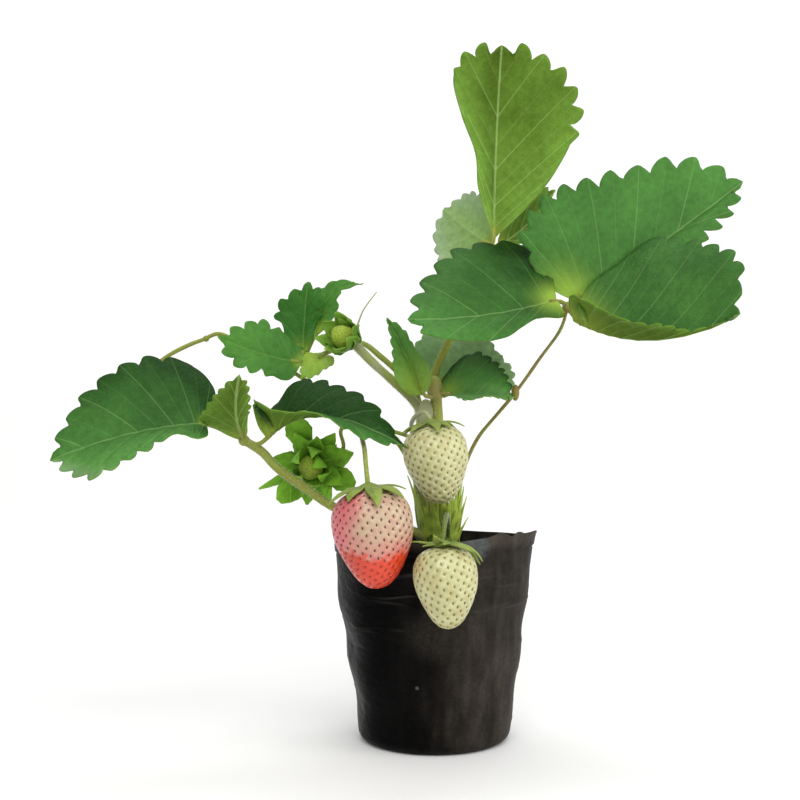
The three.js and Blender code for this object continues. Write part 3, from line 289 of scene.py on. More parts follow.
# Half outline of a berry: share of its height from the tip, share of its largest radius
BERRY_OUTLINE = [(0, 0), (0.02, 0.22), (0.1, 0.47), (0.28, 0.74), (0.48, 0.94), (0.64, 1), (0.8, 0.95),
                 (0.92, 0.75), (0.985, 0.42), (1, 0)]
SHOULDER_LINE = [(0.998, 0.17), (0.975, 0.5), (0.93, 0.72), (0.82, 0.94), (0.66, 1), (0.5, 0.95)]

# Stalks: stems as (path, radius, hairs per square millimetre), and swollen joints
STALKS = {
    "truss_left": {
        "stems": [
            ([(0.5, -4, 83), (-2, -6, 91), (-7.5, -8.5, 103), (-11, -8.5, 113), (-16, -9, 121.5),
              (-23, -11, 127), (-31, -13, 129)], 1.2, 0.8),
            ([(-31, -13, 129), (-30, -22, 124), (-28.5, -33, 119.5), (-27.6, -44, 113.5),
              (-26.7, -51, 107)], 0.9, 0.8),
            ([(-31, -13, 129), (-36, -9.5, 129), (-38.8, -6, 125.5), (-38, 0, 118.5), (-42, 4.5, 113),
              (-48, 5, 111.2), (-50.9, 1.6, 111)], 0.8, 0.8)],
        "knobs": [((-31, -13, 129), 1.6, 1.4)]},
    "truss_centre": {
        "stems": [
            ([(-1.5, 1, 84), (-2.5, 2, 92), (-5, 7, 110), (-6, 11, 124), (-7, 12.3, 134),
              (-10.2, 12.5, 138.8), (-17.7, 12.7, 146), (-26.1, 13, 153.5), (-31.5, 12.3, 159),
              (-34.4, 10, 161.8)], 1.8, 2.4),
            ([(-6, 11, 122), (-10, 2, 126), (-9, -10, 131), (-5, -20, 133), (-2.7, -23.8, 130)], 0.9, 0.8),
            ([(-34.2, 10, 162), (-32.5, 8.5, 169), (-30, 8, 175.5), (-24.5, 8, 183)], 0.5, 0.5)],
        "knobs": [((-4, 10.5, 132), 3.4, 6.5)]},
    "pedicel_lower": {
        "stems": [
            ([(4.5, -4.5, 79), (4.5, -10, 86), (4, -22, 92), (3, -36, 93.5), (1.8, -48, 91),
              (0.9, -53, 86)], 0.8, 0.3)],
        "knobs": []},
    "runner": {
        "stems": [
            ([(-3.5, 1.5, 79), (-6.8, 5.5, 86), (-8.2, 12.5, 100), (-8, 19.5, 112), (-9.5, 22, 121),
              (-20, 24, 125.5), (-30, 24.5, 131.5), (-42, 25, 138), (-53, 26, 145), (-70, 27, 155.5),
              (-84, 27, 162.5), (-93, 26, 166.5), (-99, 24, 164), (-105, 22, 161.5), (-114, 20, 156.5),
              (-121, 18, 150.5)], 0.9, 0.4)],
        "knobs": [((-98, 24.2, 164.3), 1.4, 1.4), ((-121, 18, 150.5), 1.7, 2.8)]},
}
# Stems: reach of the swelling at the root, and unevenness with its length
SWELLING_REACH, STEM_UNEVEN, STEM_WAVE = 6, 0.04, 3.1
HAIR_SPREAD, HAIR_LEAN, HAIR_REACH = 0.25, 0.2, (0.6, 1.2)
PETIOLE_HAIRS, PETIOLE_SWELLING, STALK_SWELLING = 0.9, 0.45, 0.3  # hairs per square millimetre; shares
LEAFLET_STALK = (0.85, 0.3, 0.0, 1.0)  # radius, hairs, swelling at the root, tip's share of the radius
THREAD_RADIUS, THREAD_TIP = 0.6, 0.4  # a thinner stalk is a thread, and narrows to this share
# How far the sun-browned flush shows on stems in the settings' colours
STEM_FLUSH = {"leaf_left": 0.45, "leaf_bright": 0.0, "truss_left": 0.35, "runner": 0.35}
# Other stems: fresh side, flushed side and how far the flush shows
STEM_TINTS = {
    "leaf_upright": ("#98a23c", "#8a7a3a", 0.2), "leaf_middle": ("#97a646", "#a5806a", 0.5),
    "truss_centre": ("#8d9c40", "#b3a9a4", 0.75), "pedicel_lower": ("#62762a", "#6f5230", 0.25),
    "leaf_upper_right": ("#7d8a38", "#7a4a34", 0.8),
}

# Calyces of the ripe berries: the stalk's node that each belongs to, the sepals' count, length, width and
# lift of the point, and how much longer they are at the right and shorter in front
SHOULDER_CALYCES = {
    "berry_blush": {"node": "truss_left", "count": 9, "length": 9.4, "width": 6.6, "lift": 1.2,
                    "front": -0.45},
    "berry_white_upper": {"node": "truss_centre", "count": 8, "length": 9.5, "width": 5, "lift": 1.4},
    "berry_white_lower": {"node": "pedicel_lower", "count": 9, "length": 10.5, "width": 4.4, "lift": 3.4,
                          "right": 0.38, "front": 0.45},
}

# Calyces of the young fruits: dark and light green, the sepals' angles at root and point, how far their
# points hook back, the count, length, width and angles of each inner ring, and the outer sepals' turns,
# lengths and widths
SPREAD_CALYCES = {
    "young_fruit_lower": {
        "node": "truss_left", "colours": ("#1f480c", "#82bd34"), "from": -8, "to": 18, "hook": 0,
        "inner": [(7, 15, 9, -4, 50), (6, 16.5, 8, 8, 156)],
        "sepals": [(-110, 21, 15), (-55, 16, 9), (-18, 17, 12), (24, 18, 13), (64, 12, 9), (98, 15, 10),
                   (133, 19, 13), (156, 23, 5), (195, 14, 9)]},
    # The upper fruit's dark greens are partly its own and partly painted shade over its calyx
    "young_fruit_upper": {
        "node": "truss_centre", "colours": ("#22430f", "#76a036"), "from": 30, "to": 95, "hook": 25,
        "inner": [(5, 10, 7, 30, 85)],
        "sepals": [(0, 13, 10), (45, 14, 10), (90, 15, 11), (135, 14, 11), (180, 16, 11), (225, 15, 11),
                   (270, 15, 11), (315, 13, 10)]},
}
SEPAL_THICKNESS = 0.4
SHOULDER_GAP, SEPAL_RIDGE, SEPAL_SWING = 1.25, 0.45, 0.12
SPREAD_ROOT, SPREAD_INSET = 1.4, 0.3  # above the fruit, and share of its radius
WIDE_SEPAL, SEPAL_TEETH, SEPAL_CUP, SEPAL_TWIST = 12, 0.12, 0.2, 0.7
# How sepals vary with their number: turn, length and lift of those on ripe berries, the point's angle of the
# listed ones on young fruits, and turn, length, root's and point's angle of those in their inner rings
SHOULDER_VARIETY, LISTED_VARIETY, INNER_VARIETY = (0.25, 0.14, 0.8), 9, (0.3, 0.15, 10, 18)
# Caps between stalk and calyx: share of the berry's radius, height, and the gap under them
RIPE_CAP, YOUNG_CAP, CAP_GAP = (0.3, 2.6), (0.55, 2.4), 0.35


def linear(hex_colour):
    """Linear red, green, blue and alpha of an sRGB hex colour."""
    share = np.array([int(hex_colour[k:k + 2], 16) for k in (1, 3, 5)]) / 255
    return (*np.where(share <= 0.04045, share / 12.92, ((share + 0.055) / 1.055) ** 2.4), 1.0)


# Settings: the sizes and colours that a user would change

def length_setting(name, description, millimetres):
    return bpy.props.FloatProperty(name=name, description=description, default=millimetres * MM, min=0,
                                   precision=5, unit="LENGTH")


def colour_setting(name, description, hex_colour):
    return bpy.props.FloatVectorProperty(name=name, description=description, size=3, min=0, max=1,
                                         subtype="COLOR", default=linear(hex_colour)[:3])


def power_setting(name, description, watts):
    return bpy.props.FloatProperty(name=name, description=description, default=watts, min=0, unit="POWER")


class LeafSettings(bpy.types.PropertyGroup):
    thickness: length_setting("Blade thickness", "Thickness of a leaflet", 0.4)
    relief: length_setting("Quilting", "Height of the blade between its side veins", 0.42)
    deep: colour_setting("Shaded green", "Top side where a leaflet is darkest", "#163a0c")
    light: colour_setting("Lit green", "Top side where a leaflet is lightest", "#4c8238")
    vein: colour_setting("Vein green", "Midrib and side veins from above", "#86ab66")
    under_deep: colour_setting("Underside green", "Underside where it is shaded", "#3f5512")
    under_light: colour_setting("Pale underside", "Underside where it is palest", "#79a440")
    young: colour_setting("Young green", "Top side of the youngest leaf", "#2f6420")


class StemSettings(bpy.types.PropertyGroup):
    hair_length: length_setting("Hair length", "Length of the fine hairs on the stalks", 1.0)
    hair_width: length_setting("Hair width", "Width of a hair at its root", 0.11)
    green: colour_setting("Stalk green", "Fresh side of a petiole or fruit stalk", "#87953c")
    flush: colour_setting("Stalk flush", "Sun-browned side of a petiole", "#6f5230")


class BerrySettings(bpy.types.PropertyGroup):
    seed_gap: length_setting("Seed spacing", "Distance between neighbouring seeds", 2.9)
    pit: length_setting("Pit depth", "Depth of the pit round a seed", 0.42)
    cream: colour_setting("Unripe flesh", "Flesh before it colours", "#c4c292")
    pink: colour_setting("Blushed flesh", "Flesh that begins to ripen", "#cc6068")
    red: colour_setting("Ripe flesh", "Flesh at the ripening tip", "#d23a1a")


class BagSettings(bpy.types.PropertyGroup):
    film: length_setting("Film thickness", "Thickness of the bag's film as drawn", 0.35)
    crease: length_setting("Crease height", "Height of the film's creases", 0.75)
    hem: length_setting("Hem depth", "Depth of the folded hem", 5.0)
    black: colour_setting("Film black", "Clean film", "#030303")
    # Besides dust, this colour paints the light on the film's right side and the sheen at its hem
    dust: colour_setting("Dust", "Dried soil dust on the film", "#48423b")


class SoilSettings(bpy.types.PropertyGroup):
    crumb: length_setting("Crumb size", "Width of a middling soil crumb", 1.9)
    crumbs: bpy.props.IntProperty(name="Crumbs", description="Loose crumbs on the soil", default=1100, min=0)
    brown: colour_setting("Soil brown", "Moist potting mix", "#33241a")


class StageSettings(bpy.types.PropertyGroup):
    floor: colour_setting("Floor", "Floor and backdrop", "#f7f7f6")
    key_power: power_setting("Key light", "Power of the large light", 9)
    fill_power: power_setting("Fill light", "Power of the light at the right", 5)
    wash_power: power_setting("Backdrop light", "Power of the light on the backdrop", 11)


# Shapes: each function works on whole arrays, in millimetres

def unit(vectors):
    """Vectors divided by their lengths."""
    return vectors / np.maximum(np.linalg.norm(vectors, axis=-1, keepdims=True), 1e-12)


def ease(values, low, high):
    """Smooth step: 0 below low, 1 above high, and 3 x^2 - 2 x^3 of the share x between them."""
    share = np.clip((values - low) / (high - low), 0, 1)
    return share * share * (3 - 2 * share)


def bell(values, width):
    """Bell curve: e to minus the square of values over width."""
    return np.exp(-((values / width) ** 2))


def turns(count):
    """Angles of a full turn in even steps."""
    return np.linspace(0, 2 * np.pi, count, endpoint=False)


def circle(angle, east, north):
    """Directions at angles round an axis, from two directions across it."""
    return np.cos(angle)[..., None] * east + np.sin(angle)[..., None] * north


def upright(centre_x, radius, angle, height):
    """Points at radii, angles and heights round an upright axis at centre_x."""
    x, y = centre_x + radius * np.cos(angle), radius * np.sin(angle)
    return np.stack(np.broadcast_arrays(x, y, height), -1)


def length_of(line):
    """Length of a line of points."""
    return np.linalg.norm(np.diff(line, axis=0), axis=1).sum()


def arc(base, mid, tip, u):
    """Quadratic curve from base to tip with the control point mid, at shares u."""
    return (1 - u) ** 2 * base + 2 * u * (1 - u) * mid + u * u * tip


def smooth_line(points, count, pull=0.5):
    """Catmull-Rom curve through the points, resampled evenly. Each span is a cubic whose end slopes come from
    its neighbours, weighted by their distances to the power pull."""
    p = np.asarray(points, float)
    p = np.vstack([2 * p[0] - p[1], p, 2 * p[-1] - p[-2]])
    gap = np.linalg.norm(np.diff(p, axis=0), axis=1)[:, None] ** pull
    a, b, c, d = p[:-3], p[1:-2], p[2:-1], p[3:]
    before, here, after = gap[:-2], gap[1:-1], gap[2:]
    start = ((b - a) / before - (c - a) / (before + here) + (c - b) / here) * here
    end = ((c - b) / here - (d - b) / (here + after) + (d - c) / after) * here
    t = np.linspace(0, 1, 40, endpoint=False)[None, :, None]
    b, c, start, end = (v[:, None] for v in (b, c, start, end))
    body = b + start * t + (3 * (c - b) - 2 * start - end) * t ** 2 + (2 * (b - c) + start + end) * t ** 3
    line = np.vstack([body.reshape(-1, p.shape[1]), p[-2]])
    walk = np.concatenate([[0], np.cumsum(np.linalg.norm(np.diff(line, axis=0), axis=1))])
    share = np.linspace(0, walk[-1], count)
    return np.stack([np.interp(share, walk, column) for column in line.T], -1)


def at_share(line, share):
    """Points of an evenly sampled line at shares of its length."""
    known = np.linspace(0, 1, len(line))
    return np.stack([np.interp(share, known, column) for column in line.T], -1)


def point_and_slope(line, share):
    """Points of an evenly sampled line at shares of its length, and its directions there."""
    return at_share(line, share), at_share(unit(np.gradient(line, axis=0)), share)


def sheet_faces(rows, columns, closed=False, poles=False):
    """Faces of a grid counted row by row. Closed joins the last column to the first. Poles are two more
    points after the grid, with fans of triangles to its first and its last row."""
    wide = columns if closed else columns - 1
    i, j = np.meshgrid(np.arange(rows - 1), np.arange(wide), indexing="ij")
    k = (j + 1) % columns
    quads = np.stack([i * columns + j, i * columns + k, (i + 1) * columns + k, (i + 1) * columns + j], -1)
    faces = quads.reshape(-1, 4).tolist()
    if poles:
        first, last = rows * columns, rows * columns + 1
        j = np.arange(wide)
        k, top = (j + 1) % columns, (rows - 1) * columns
        faces += np.stack([np.full(wide, first), k, j], -1).tolist()
        faces += np.stack([np.full(wide, last), top + j, top + k], -1).tolist()
    return faces


def poled_skin(grid, first, last, closed=True):
    """Points and faces of a grid with a pole before its first row and one after its last."""
    return (np.vstack([grid.reshape(-1, 3), [first, last]]),
            sheet_faces(*grid.shape[:2], closed=closed, poles=True))


def copies(points, faces):
    """Points and faces of many like bodies, from an array of each body's points and the faces of one."""
    size = points.shape[1]
    return points.reshape(-1, 3), [[v + k * size for v in face] for k in range(len(points)) for face in faces]


def margin(leaflet, side, length, p):
    """Margin of a half leaflet in its own plane at shares p of its length: points of a smooth line from the
    base over the edge points to the tip, its outward directions, and how far the teeth push it out. That is
    the tooth size times a profile that rises as a quarter sine to a power up to its peak, falls as a half
    cosine to another and is centred on 0.5, with less of it where the margin comes close to the midrib."""
    line = smooth_line([(0, 0), *leaflet[side], (length, 0)], 600, 0.0)
    point, ahead = point_and_slope(line, p)
    step = (1 - leaflet["bare"]) / (leaflet["teeth"] + 0.5)
    number, f = np.divmod((p - leaflet["bare"]) / step, 1)
    vary = 1 + TOOTH_VARIETY * np.sin(2.4 * number + 5 * leaflet["bare"] * leaflet["teeth"])
    rise = np.sin(np.pi / 2 * np.minimum(f / TOOTH_PEAK, 1)) ** TOOTH_RISE
    fall = (0.5 + 0.5 * np.cos(np.pi * np.clip((f - TOOTH_PEAK) / (1 - TOOTH_PEAK), 0, 1))) ** TOOTH_FALL
    room = np.clip(point[:, 1] / (1.5 * leaflet["tooth"]) + ahead[:, 1] ** 2, 0.25, 1)
    toothed = np.clip((p - leaflet.get(f"{side}_bare", leaflet["bare"])) / 0.08, 0, 1)
    push = leaflet["tooth"] * vary * toothed * room * (rise * fall - 0.5)
    return point, np.stack([-ahead[:, 1], ahead[:, 0]], -1), push


def vein_places(leaflet, length, step, flat, side):
    """Vein number and vein spacing at points of a leaflet's plane. Side veins run straight from the midrib,
    at p to the power of the vein sweep of the length, to the margin's point p. A point lies on the vein p at
    which its signed distance to the veins changes sign."""
    p = np.linspace(0.02, 1, 70)
    foot = np.stack([p ** VEIN_SWEEP * length, 0 * p], -1)
    number, pitch = np.zeros(side.shape), np.ones(side.shape)
    for name, chosen in (("left", side < 0), ("right", side >= 0)):
        run = margin(leaflet, name, length, p)[0] - foot
        run /= np.maximum(np.linalg.norm(run, axis=-1, keepdims=True), 1e-6)
        from_foot = flat[chosen][:, None] - foot
        off = run[:, 0] * from_foot[..., 1] - run[:, 1] * from_foot[..., 0]
        after = np.clip((off < 0).sum(1), 1, len(p) - 1)[:, None]
        high, low = (np.take_along_axis(off, at, 1)[:, 0] for at in (after, after - 1))
        gap = np.maximum(high - low, 1e-6)
        found = p[after[:, 0] - 1] + (p[1] - p[0]) * np.clip(-low / gap, -1, 2)
        number[chosen] = (found - leaflet["bare"]) / step - TOOTH_PEAK
        pitch[chosen] = gap / (p[1] - p[0]) * step
    return number, pitch


def place_on_leaflet(leaflet, length, along, out, side):
    """Points in space for distances along a leaflet's midrib and out from it. The midrib is a curve of three
    points; each half leaves it at a fold angle that goes from its base value to its tip value as a power of
    the share along."""
    base, mid, tip = (np.array(leaflet[k], float) for k in ("base", "mid", "tip"))
    share = np.clip(along / length, 0, 1)
    u = share[..., None]
    ahead = unit(2 * (1 - u) * (mid - base) + 2 * u * (tip - mid))
    centre = arc(base, mid, tip, u) + ahead * (along - share * length)[..., None]
    heading = unit(CURL_SHARE * ahead + (1 - CURL_SHARE) * unit(tip - base))
    up = unit(np.array(leaflet["up"], float))
    top = unit(up - (heading @ up)[..., None] * heading)
    outward = np.cross(heading, top) * side[..., None]
    left, right = (np.radians(leaflet.get(f"{name}_fold", (0, 0))) for name in ("left", "right"))
    root, end = np.where(side < 0, left[0], right[0]), np.where(side < 0, left[1], right[1])
    fold = (root + (end - root) * share ** FOLD_POWER)[..., None]
    return centre + out[..., None] * (outward * np.cos(fold) + top * np.sin(fold))


def leaflet_surface(leaflet, relief, back):
    """Middle surface of a leaflet. Row p runs from the midrib, at p to the power of the row sweep of the
    length, to the margin's point at p, as a quadratic curve that meets the margin squarely, and the teeth
    move its outer end by reach^4. The blade swells between the side veins by relief times the sine of the
    distance to the nearest vein, sinks along the midrib, arches between midrib and margin, and waves a little
    at its margin. Returns the points, the faces, the vein number, vein spacing and distance to the midrib,
    and the tone of the top side, closeness to the base and tone of the underside; the two tones are painted
    light and shade."""
    bare, teeth, tone = leaflet["bare"], leaflet["teeth"], leaflet["tone"]
    base, mid, tip = (np.array(leaflet[k], float) for k in ("base", "mid", "tip"))
    length = length_of(arc(base, mid, tip, np.linspace(0, 1, 200)[:, None]))
    full = length + TIP_REACH * leaflet["tooth"]
    step = (1 - bare) / (teeth + 0.5)
    p = (bare + (np.arange(-int(bare / step) - 1, teeth + 1)[:, None] + TOOTH_SHARES) * step).ravel()
    p = p[(p > 0.004) & (p < 0.99)]
    t = np.linspace(-1, 1, 2 * HALF_COLUMNS + 1)
    reach, side = np.abs(t)[None, :, None], np.broadcast_to(np.sign(t), (len(p), len(t)))
    edge, away, depth = (np.where(t[None, :, None] < 0, a.reshape(len(p), 1, -1), b.reshape(len(p), 1, -1))
                         for a, b in zip(*(margin(leaflet, name, length, p) for name in ("left", "right"))))
    foot = np.stack([p ** ROW_SWEEP * full, np.zeros(len(p))], -1)[:, None]
    bend = edge - away * ROW_BEND * np.linalg.norm(edge - foot, axis=-1, keepdims=True)
    flat = arc(foot, bend, edge, reach) + depth * reach ** 4 * away
    flat[..., 1] = np.maximum(flat[..., 1], 0)
    points = place_on_leaflet(leaflet, length, flat[..., 0], flat[..., 1], side)
    vein, pitch = vein_places(leaflet, length, step, flat, side)
    between = np.abs(np.sin(np.pi * vein))
    width = np.linalg.norm(edge - foot, axis=-1)
    swell = relief * np.clip(pitch / QUILT_SPACING, 0, 1) * (between ** QUILT_POWER - QUILT_MEAN)
    sink = -GROOVE_DEPTH * relief * bell(flat[..., 1], GROOVE_WIDTH)
    raised = ARCH * width * np.sin(np.pi * np.abs(t))
    wave = WAVE * t ** 2 * np.sin(2 * np.pi * WAVES * p[:, None] + side + base.sum())
    across, down = np.gradient(points, axis=1), np.gradient(points, axis=0)
    points = points + unit(np.cross(across, down)) * (swell + sink + raised + wave)[..., None]
    ends = place_on_leaflet(leaflet, length, np.array([0, full]), np.zeros(2), np.ones(2))
    lines = np.stack([vein, pitch * (1 + 0.8 * np.abs(t)), flat[..., 1]], -1)
    along = np.clip(flat[..., 0] / full, 0, 1)
    # Painted light and shade: each tone runs from base to tip, the tilt paints one half lighter and the other
    # darker, and the edge changes it at the left margin
    shade, under = (pair[0] + (pair[1] - pair[0]) * along for pair in (tone, back))
    shade = shade + leaflet.get("tilt", 0) * t + leaflet.get("edge", 0) * np.clip(-t, 0, 1) ** 3
    near = np.exp(-np.linalg.norm(flat, axis=-1) * leaflet.get("fresh", 1) / FRESH_REACH)
    tint = np.stack([shade, near, under + PALE_MARGIN * t ** 2], -1)
    return (*poled_skin(points, *ends, closed=False), np.vstack([lines.reshape(-1, 3), [[0.5, 9, 0]] * 2]),
            np.vstack([tint.reshape(-1, 3), [[tone[0], 1, back[0]], [tone[1], 0, back[1]]]]))


def tube(path, radius, sides=12, pace=1.4, swell=0.0, tip=1.0):
    """Round stem: rings about a smooth line through the path. The radius is swollen at the root by a falling
    exponential, tapers to its tip share and is a little uneven. Ring directions come from the fixed axis that
    the line turns to least. Returns the points, faces, the angle round and length along, and the frame."""
    length = length_of(smooth_line(path, 50))
    rows = max(6, int(length / pace))
    line = smooth_line(path, rows)
    ahead = unit(np.gradient(line, axis=0))
    choices = unit(np.array([(1, 0, 0), (0, 1, 0), (0, 0, 1), (1, 1, 0), (1, -1, 0), (0, 1, 1), (1, 0, 1)],
                            float))
    steady = choices[np.argmin(np.abs(ahead @ choices.T).max(0))]
    east = unit(np.cross(steady, ahead))
    north = np.cross(ahead, east)
    far = np.linspace(0, length, rows)
    taper = 1 + (tip - 1) * far / length
    size = (radius * (1 + swell * np.exp(-far / SWELLING_REACH)) * taper
            * (1 + STEM_UNEVEN * np.sin(far / STEM_WAVE)))
    angle = turns(sides)
    out = circle(angle[None], east[:, None], north[:, None])
    points = line[:, None] + size[:, None, None] * out
    along = np.broadcast_to(far[:, None], (rows, sides))
    marks = np.stack([np.broadcast_to(angle, (rows, sides)), along, 0 * along], -1)
    skin, faces = poled_skin(points, line[0] - ahead[0] * 0.2 * radius, line[-1] + ahead[-1] * 0.3 * radius)
    marks = np.vstack([marks.reshape(-1, 3), [[0, 0, 0], [0, length, 0]]])
    return skin, faces, marks, (points, out, ahead, length)


def hairs(stem, density, length, width, seed):
    """Fine hairs on a stem: thin four-sided spikes at random places of its skin, each leaning a little along
    the stem. Their count is the skin's area times the density."""
    points, out, ahead, run = stem
    rng = np.random.default_rng(seed)
    girth = np.linalg.norm(points[0] - np.roll(points[0], 1, axis=0), axis=-1).sum()
    count = int(run * girth * density)
    i, j = rng.integers(1, len(points) - 1, count), rng.integers(0, points.shape[1], count)
    mix = rng.random((count, 1))
    root = points[i, j] * mix + points[i - 1, j] * (1 - mix)
    normal = unit(out[i, j] + HAIR_SPREAD * rng.normal(size=(count, 3)) - HAIR_LEAN * ahead[i])
    one = unit(np.cross(normal, ahead[i]))
    two = np.cross(normal, one)
    reach = length * rng.uniform(*HAIR_REACH, (count, 1))
    low = root - normal * 0.1
    spikes = np.stack([low + one * width / 2, low - one * width / 4 + two * width * 0.43,
                       low - one * width / 4 - two * width * 0.43, root + normal * reach], 1)
    return copies(spikes, [(0, 2, 1), (0, 1, 3), (1, 2, 3), (2, 0, 3)])


def egg(place, radius, height, rows=8, sides=12):
    """Ellipsoid with that radius and half height: a swollen joint, a seed or a crumb."""
    tilt = np.linspace(-np.pi / 2, np.pi / 2, rows + 2)[1:-1, None]
    angle = turns(sides)
    ball = np.stack([np.cos(tilt) * np.cos(angle) * radius, np.cos(tilt) * np.sin(angle) * radius,
                     np.sin(tilt) * height * np.ones(sides)], -1)
    points, faces = poled_skin(ball, (0, 0, -height), (0, 0, height))
    return points + np.array(place), faces


def berry_axes(berry):
    """Axis from tip to top, two directions across it, the height and the tip of a berry."""
    tip = np.array(berry["tip"], float)
    axis = np.array(berry["top"], float) - tip
    height = np.linalg.norm(axis)
    axis /= height
    east = unit(np.array([1.0, 0, 0]) - axis[0] * axis)
    return axis, east, np.cross(axis, east), height, tip


def berry_line(berry, outline, count):
    """Smooth line of an outline that is given in shares of a berry's height and largest radius."""
    height = berry_axes(berry)[3]
    return smooth_line([(h * height, r * berry["radius"]) for h, r in outline], count)


def on_berry(berry, share, angle, lift=0.0):
    """Points on a berry's skin at shares of its outline's length and angles round it: the tip, plus the axis
    times the outline's height, plus the outline's radius round the axis, with a lift off the skin."""
    axis, east, north, _, tip = berry_axes(berry)
    point, slope = point_and_slope(berry_line(berry, BERRY_OUTLINE, 500), share)
    h, r = point[..., 0] - slope[..., 1] * lift, point[..., 1] + slope[..., 0] * lift
    three, five = BERRY_UNEVEN
    r = r * (1 + three * np.sin(3 * angle + 1.3) + five * np.sin(5 * angle + 7 * share))
    return tip + h[..., None] * axis + r[..., None] * circle(angle, east, north)


def seed_places(berry, gap):
    """Shares and angles of the seeds: golden-angle turns, with equal skin area to each seed."""
    line = berry_line(berry, BERRY_OUTLINE, 500)
    pieces = np.linalg.norm(np.diff(line, axis=0), axis=1)
    area = np.concatenate([[0], np.cumsum(2 * np.pi * line[1:, 1] * pieces)])
    count = int(area[-1] / (gap * gap * SEED_PACKING))
    order = np.arange(count) + 0.5
    share = np.interp(order / count, area / area[-1], np.linspace(0, 1, 500))
    return share, order * GOLDEN_TURN


def berry_skin(berry, gap, pit, rows, sides):
    """Skin of a berry: its outline turned round its axis, sunk at each seed by pit times a bell of the
    distance to the seed, with a low lip round the pit. Returns points, faces and closeness to a seed."""
    share, angle = np.meshgrid(np.linspace(0, 1, rows + 2)[1:-1], turns(sides), indexing="ij")
    points = on_berry(berry, share, angle)
    seeds = on_berry(berry, *seed_places(berry, gap))
    flat = points.reshape(-1, 3)
    far = np.sqrt(((flat[:, None] - seeds[None]) ** 2).sum(-1).min(1)).reshape(rows, sides)
    around = np.roll(points, -1, axis=1) - np.roll(points, 1, axis=1)
    normal = unit(np.cross(around, np.gradient(points, axis=0)))
    close = bell(far, PIT_WIDTH * gap)
    lip = LIP_HEIGHT * bell(far - LIP_PLACE * gap, LIP_WIDTH * gap)
    points = points + normal * (pit * (lip - close))[..., None]
    return (*poled_skin(points, berry["tip"], berry["top"]), np.append(close.ravel(), [0, 0]))


def berry_seeds(berry, gap, pit, size):
    """Seeds in the pits: small eggs, longer along the berry than across it."""
    share, angle = seed_places(berry, gap)
    keep = share < LAST_SEED
    share, angle = share[keep], angle[keep]
    centre = on_berry(berry, share, angle, -SEED_SINK * pit)
    out = unit(on_berry(berry, share, angle, 1.0) - on_berry(berry, share, angle))
    along = unit(on_berry(berry, share + 0.01, angle) - on_berry(berry, share - 0.01, angle))
    across = np.cross(along, out)
    ball, faces = egg((0, 0, 0), 1, 1, rows=3, sides=6)
    scaled = ball * SEED_SHAPE * size
    sides, depths, lengths = (scaled[None, :, k:k + 1] for k in range(3))
    offsets = sides * across[:, None] + depths * out[:, None] + lengths * along[:, None]
    return copies(centre[:, None] + offsets, faces)


def sepal_width(s):
    """Share of a sepal's full width: narrow at the root, widest near the middle, pointed at the end."""
    return np.maximum(0.05, np.sin(np.pi * (0.05 + 0.95 * s) ** 0.72) ** 0.9)


def shoulder_sepal(berry, turn, sizes, length, lift, rows=12, columns=7):
    """Sepal over a berry's shoulder: it follows the shoulder line at a small distance and rises by lift times
    the square of the share to its point, with a ridge along its middle."""
    axis, east, north, _, tip = berry_axes(berry)
    line = berry_line(berry, SHOULDER_LINE, 300)
    s = np.linspace(0, 1, rows)
    point, slope = point_and_slope(line, np.clip(s * length / length_of(line), 0, 1))
    rise = SHOULDER_GAP + lift * s * s
    h, r = point[:, 0] + slope[:, 1] * rise, point[:, 1] - slope[:, 0] * rise
    half = np.minimum(sizes["width"] / 2 * sepal_width(s), 1.1 * np.pi * r / sizes["count"])
    k = np.linspace(-1, 1, columns)
    angle = turn + k[None] * (half / r)[:, None] + SEPAL_SWING * np.sin(turn * 5) * (s ** 2)[:, None]
    ridge = SEPAL_RIDGE * (1 - np.abs(k)) * np.sin(np.pi * s)[:, None]
    return (tip + h[:, None, None] * axis + ridge[..., None] * axis * 0.6
            + (r[:, None] + ridge * 0.6)[..., None] * circle(angle, east, north))


def tilting_line(start, out, away, tilt, length):
    """Line from start that steps out at an angle towards away, which tilt gives for each step."""
    steps = (out * np.cos(tilt) + away * np.sin(tilt)) * length / (len(tilt) - 1)
    return start + np.vstack([np.zeros(3), np.cumsum(steps, axis=0)[:-1]])


def spread_sepal(berry, turn, angles, hook, length, width, count, rows=16, columns=7):
    """Sepal that spreads round a young fruit: it leaves the stalk's end and bends from one angle to another,
    its point hooks back, and it is cupped across by a share of its width and twisted a little. A wide sepal
    is fuller, and all have small teeth: a saw of the share along."""
    axis, east, north, _, _ = berry_axes(berry)
    away = -axis
    out = east * math.cos(turn) + north * math.sin(turn)
    across = np.cross(away, out)
    s = np.linspace(0, 1, rows)
    tilt = np.radians(angles[0] + (angles[1] - angles[0]) * s - hook * np.clip(4 * s - 3, 0, 1))[:, None]
    start = np.array(berry["top"]) + axis * SPREAD_ROOT + out * berry["radius"] * SPREAD_INSET
    middle = tilting_line(start, out, away, tilt, length)
    shape = sepal_width(s) ** (0.5 if width > WIDE_SEPAL else 0.9) * (1 - SEPAL_TEETH * (5 * s % 1))
    half = np.minimum(width / 2 * shape, 1.1 * np.pi * (1.5 + s * length) / count)[:, None, None]
    k = np.linspace(-1, 1, columns)[None, :, None]
    normal = -out * np.sin(tilt) + away * np.cos(tilt)
    twist = SEPAL_TWIST * np.sin(6 * s + turn * 3)[:, None, None] * k
    cup = SEPAL_CUP * half * (k ** 2 + 0.5 * (1 - np.abs(k))) + twist
    return middle[:, None] + across * half * k + normal[:, None] * cup


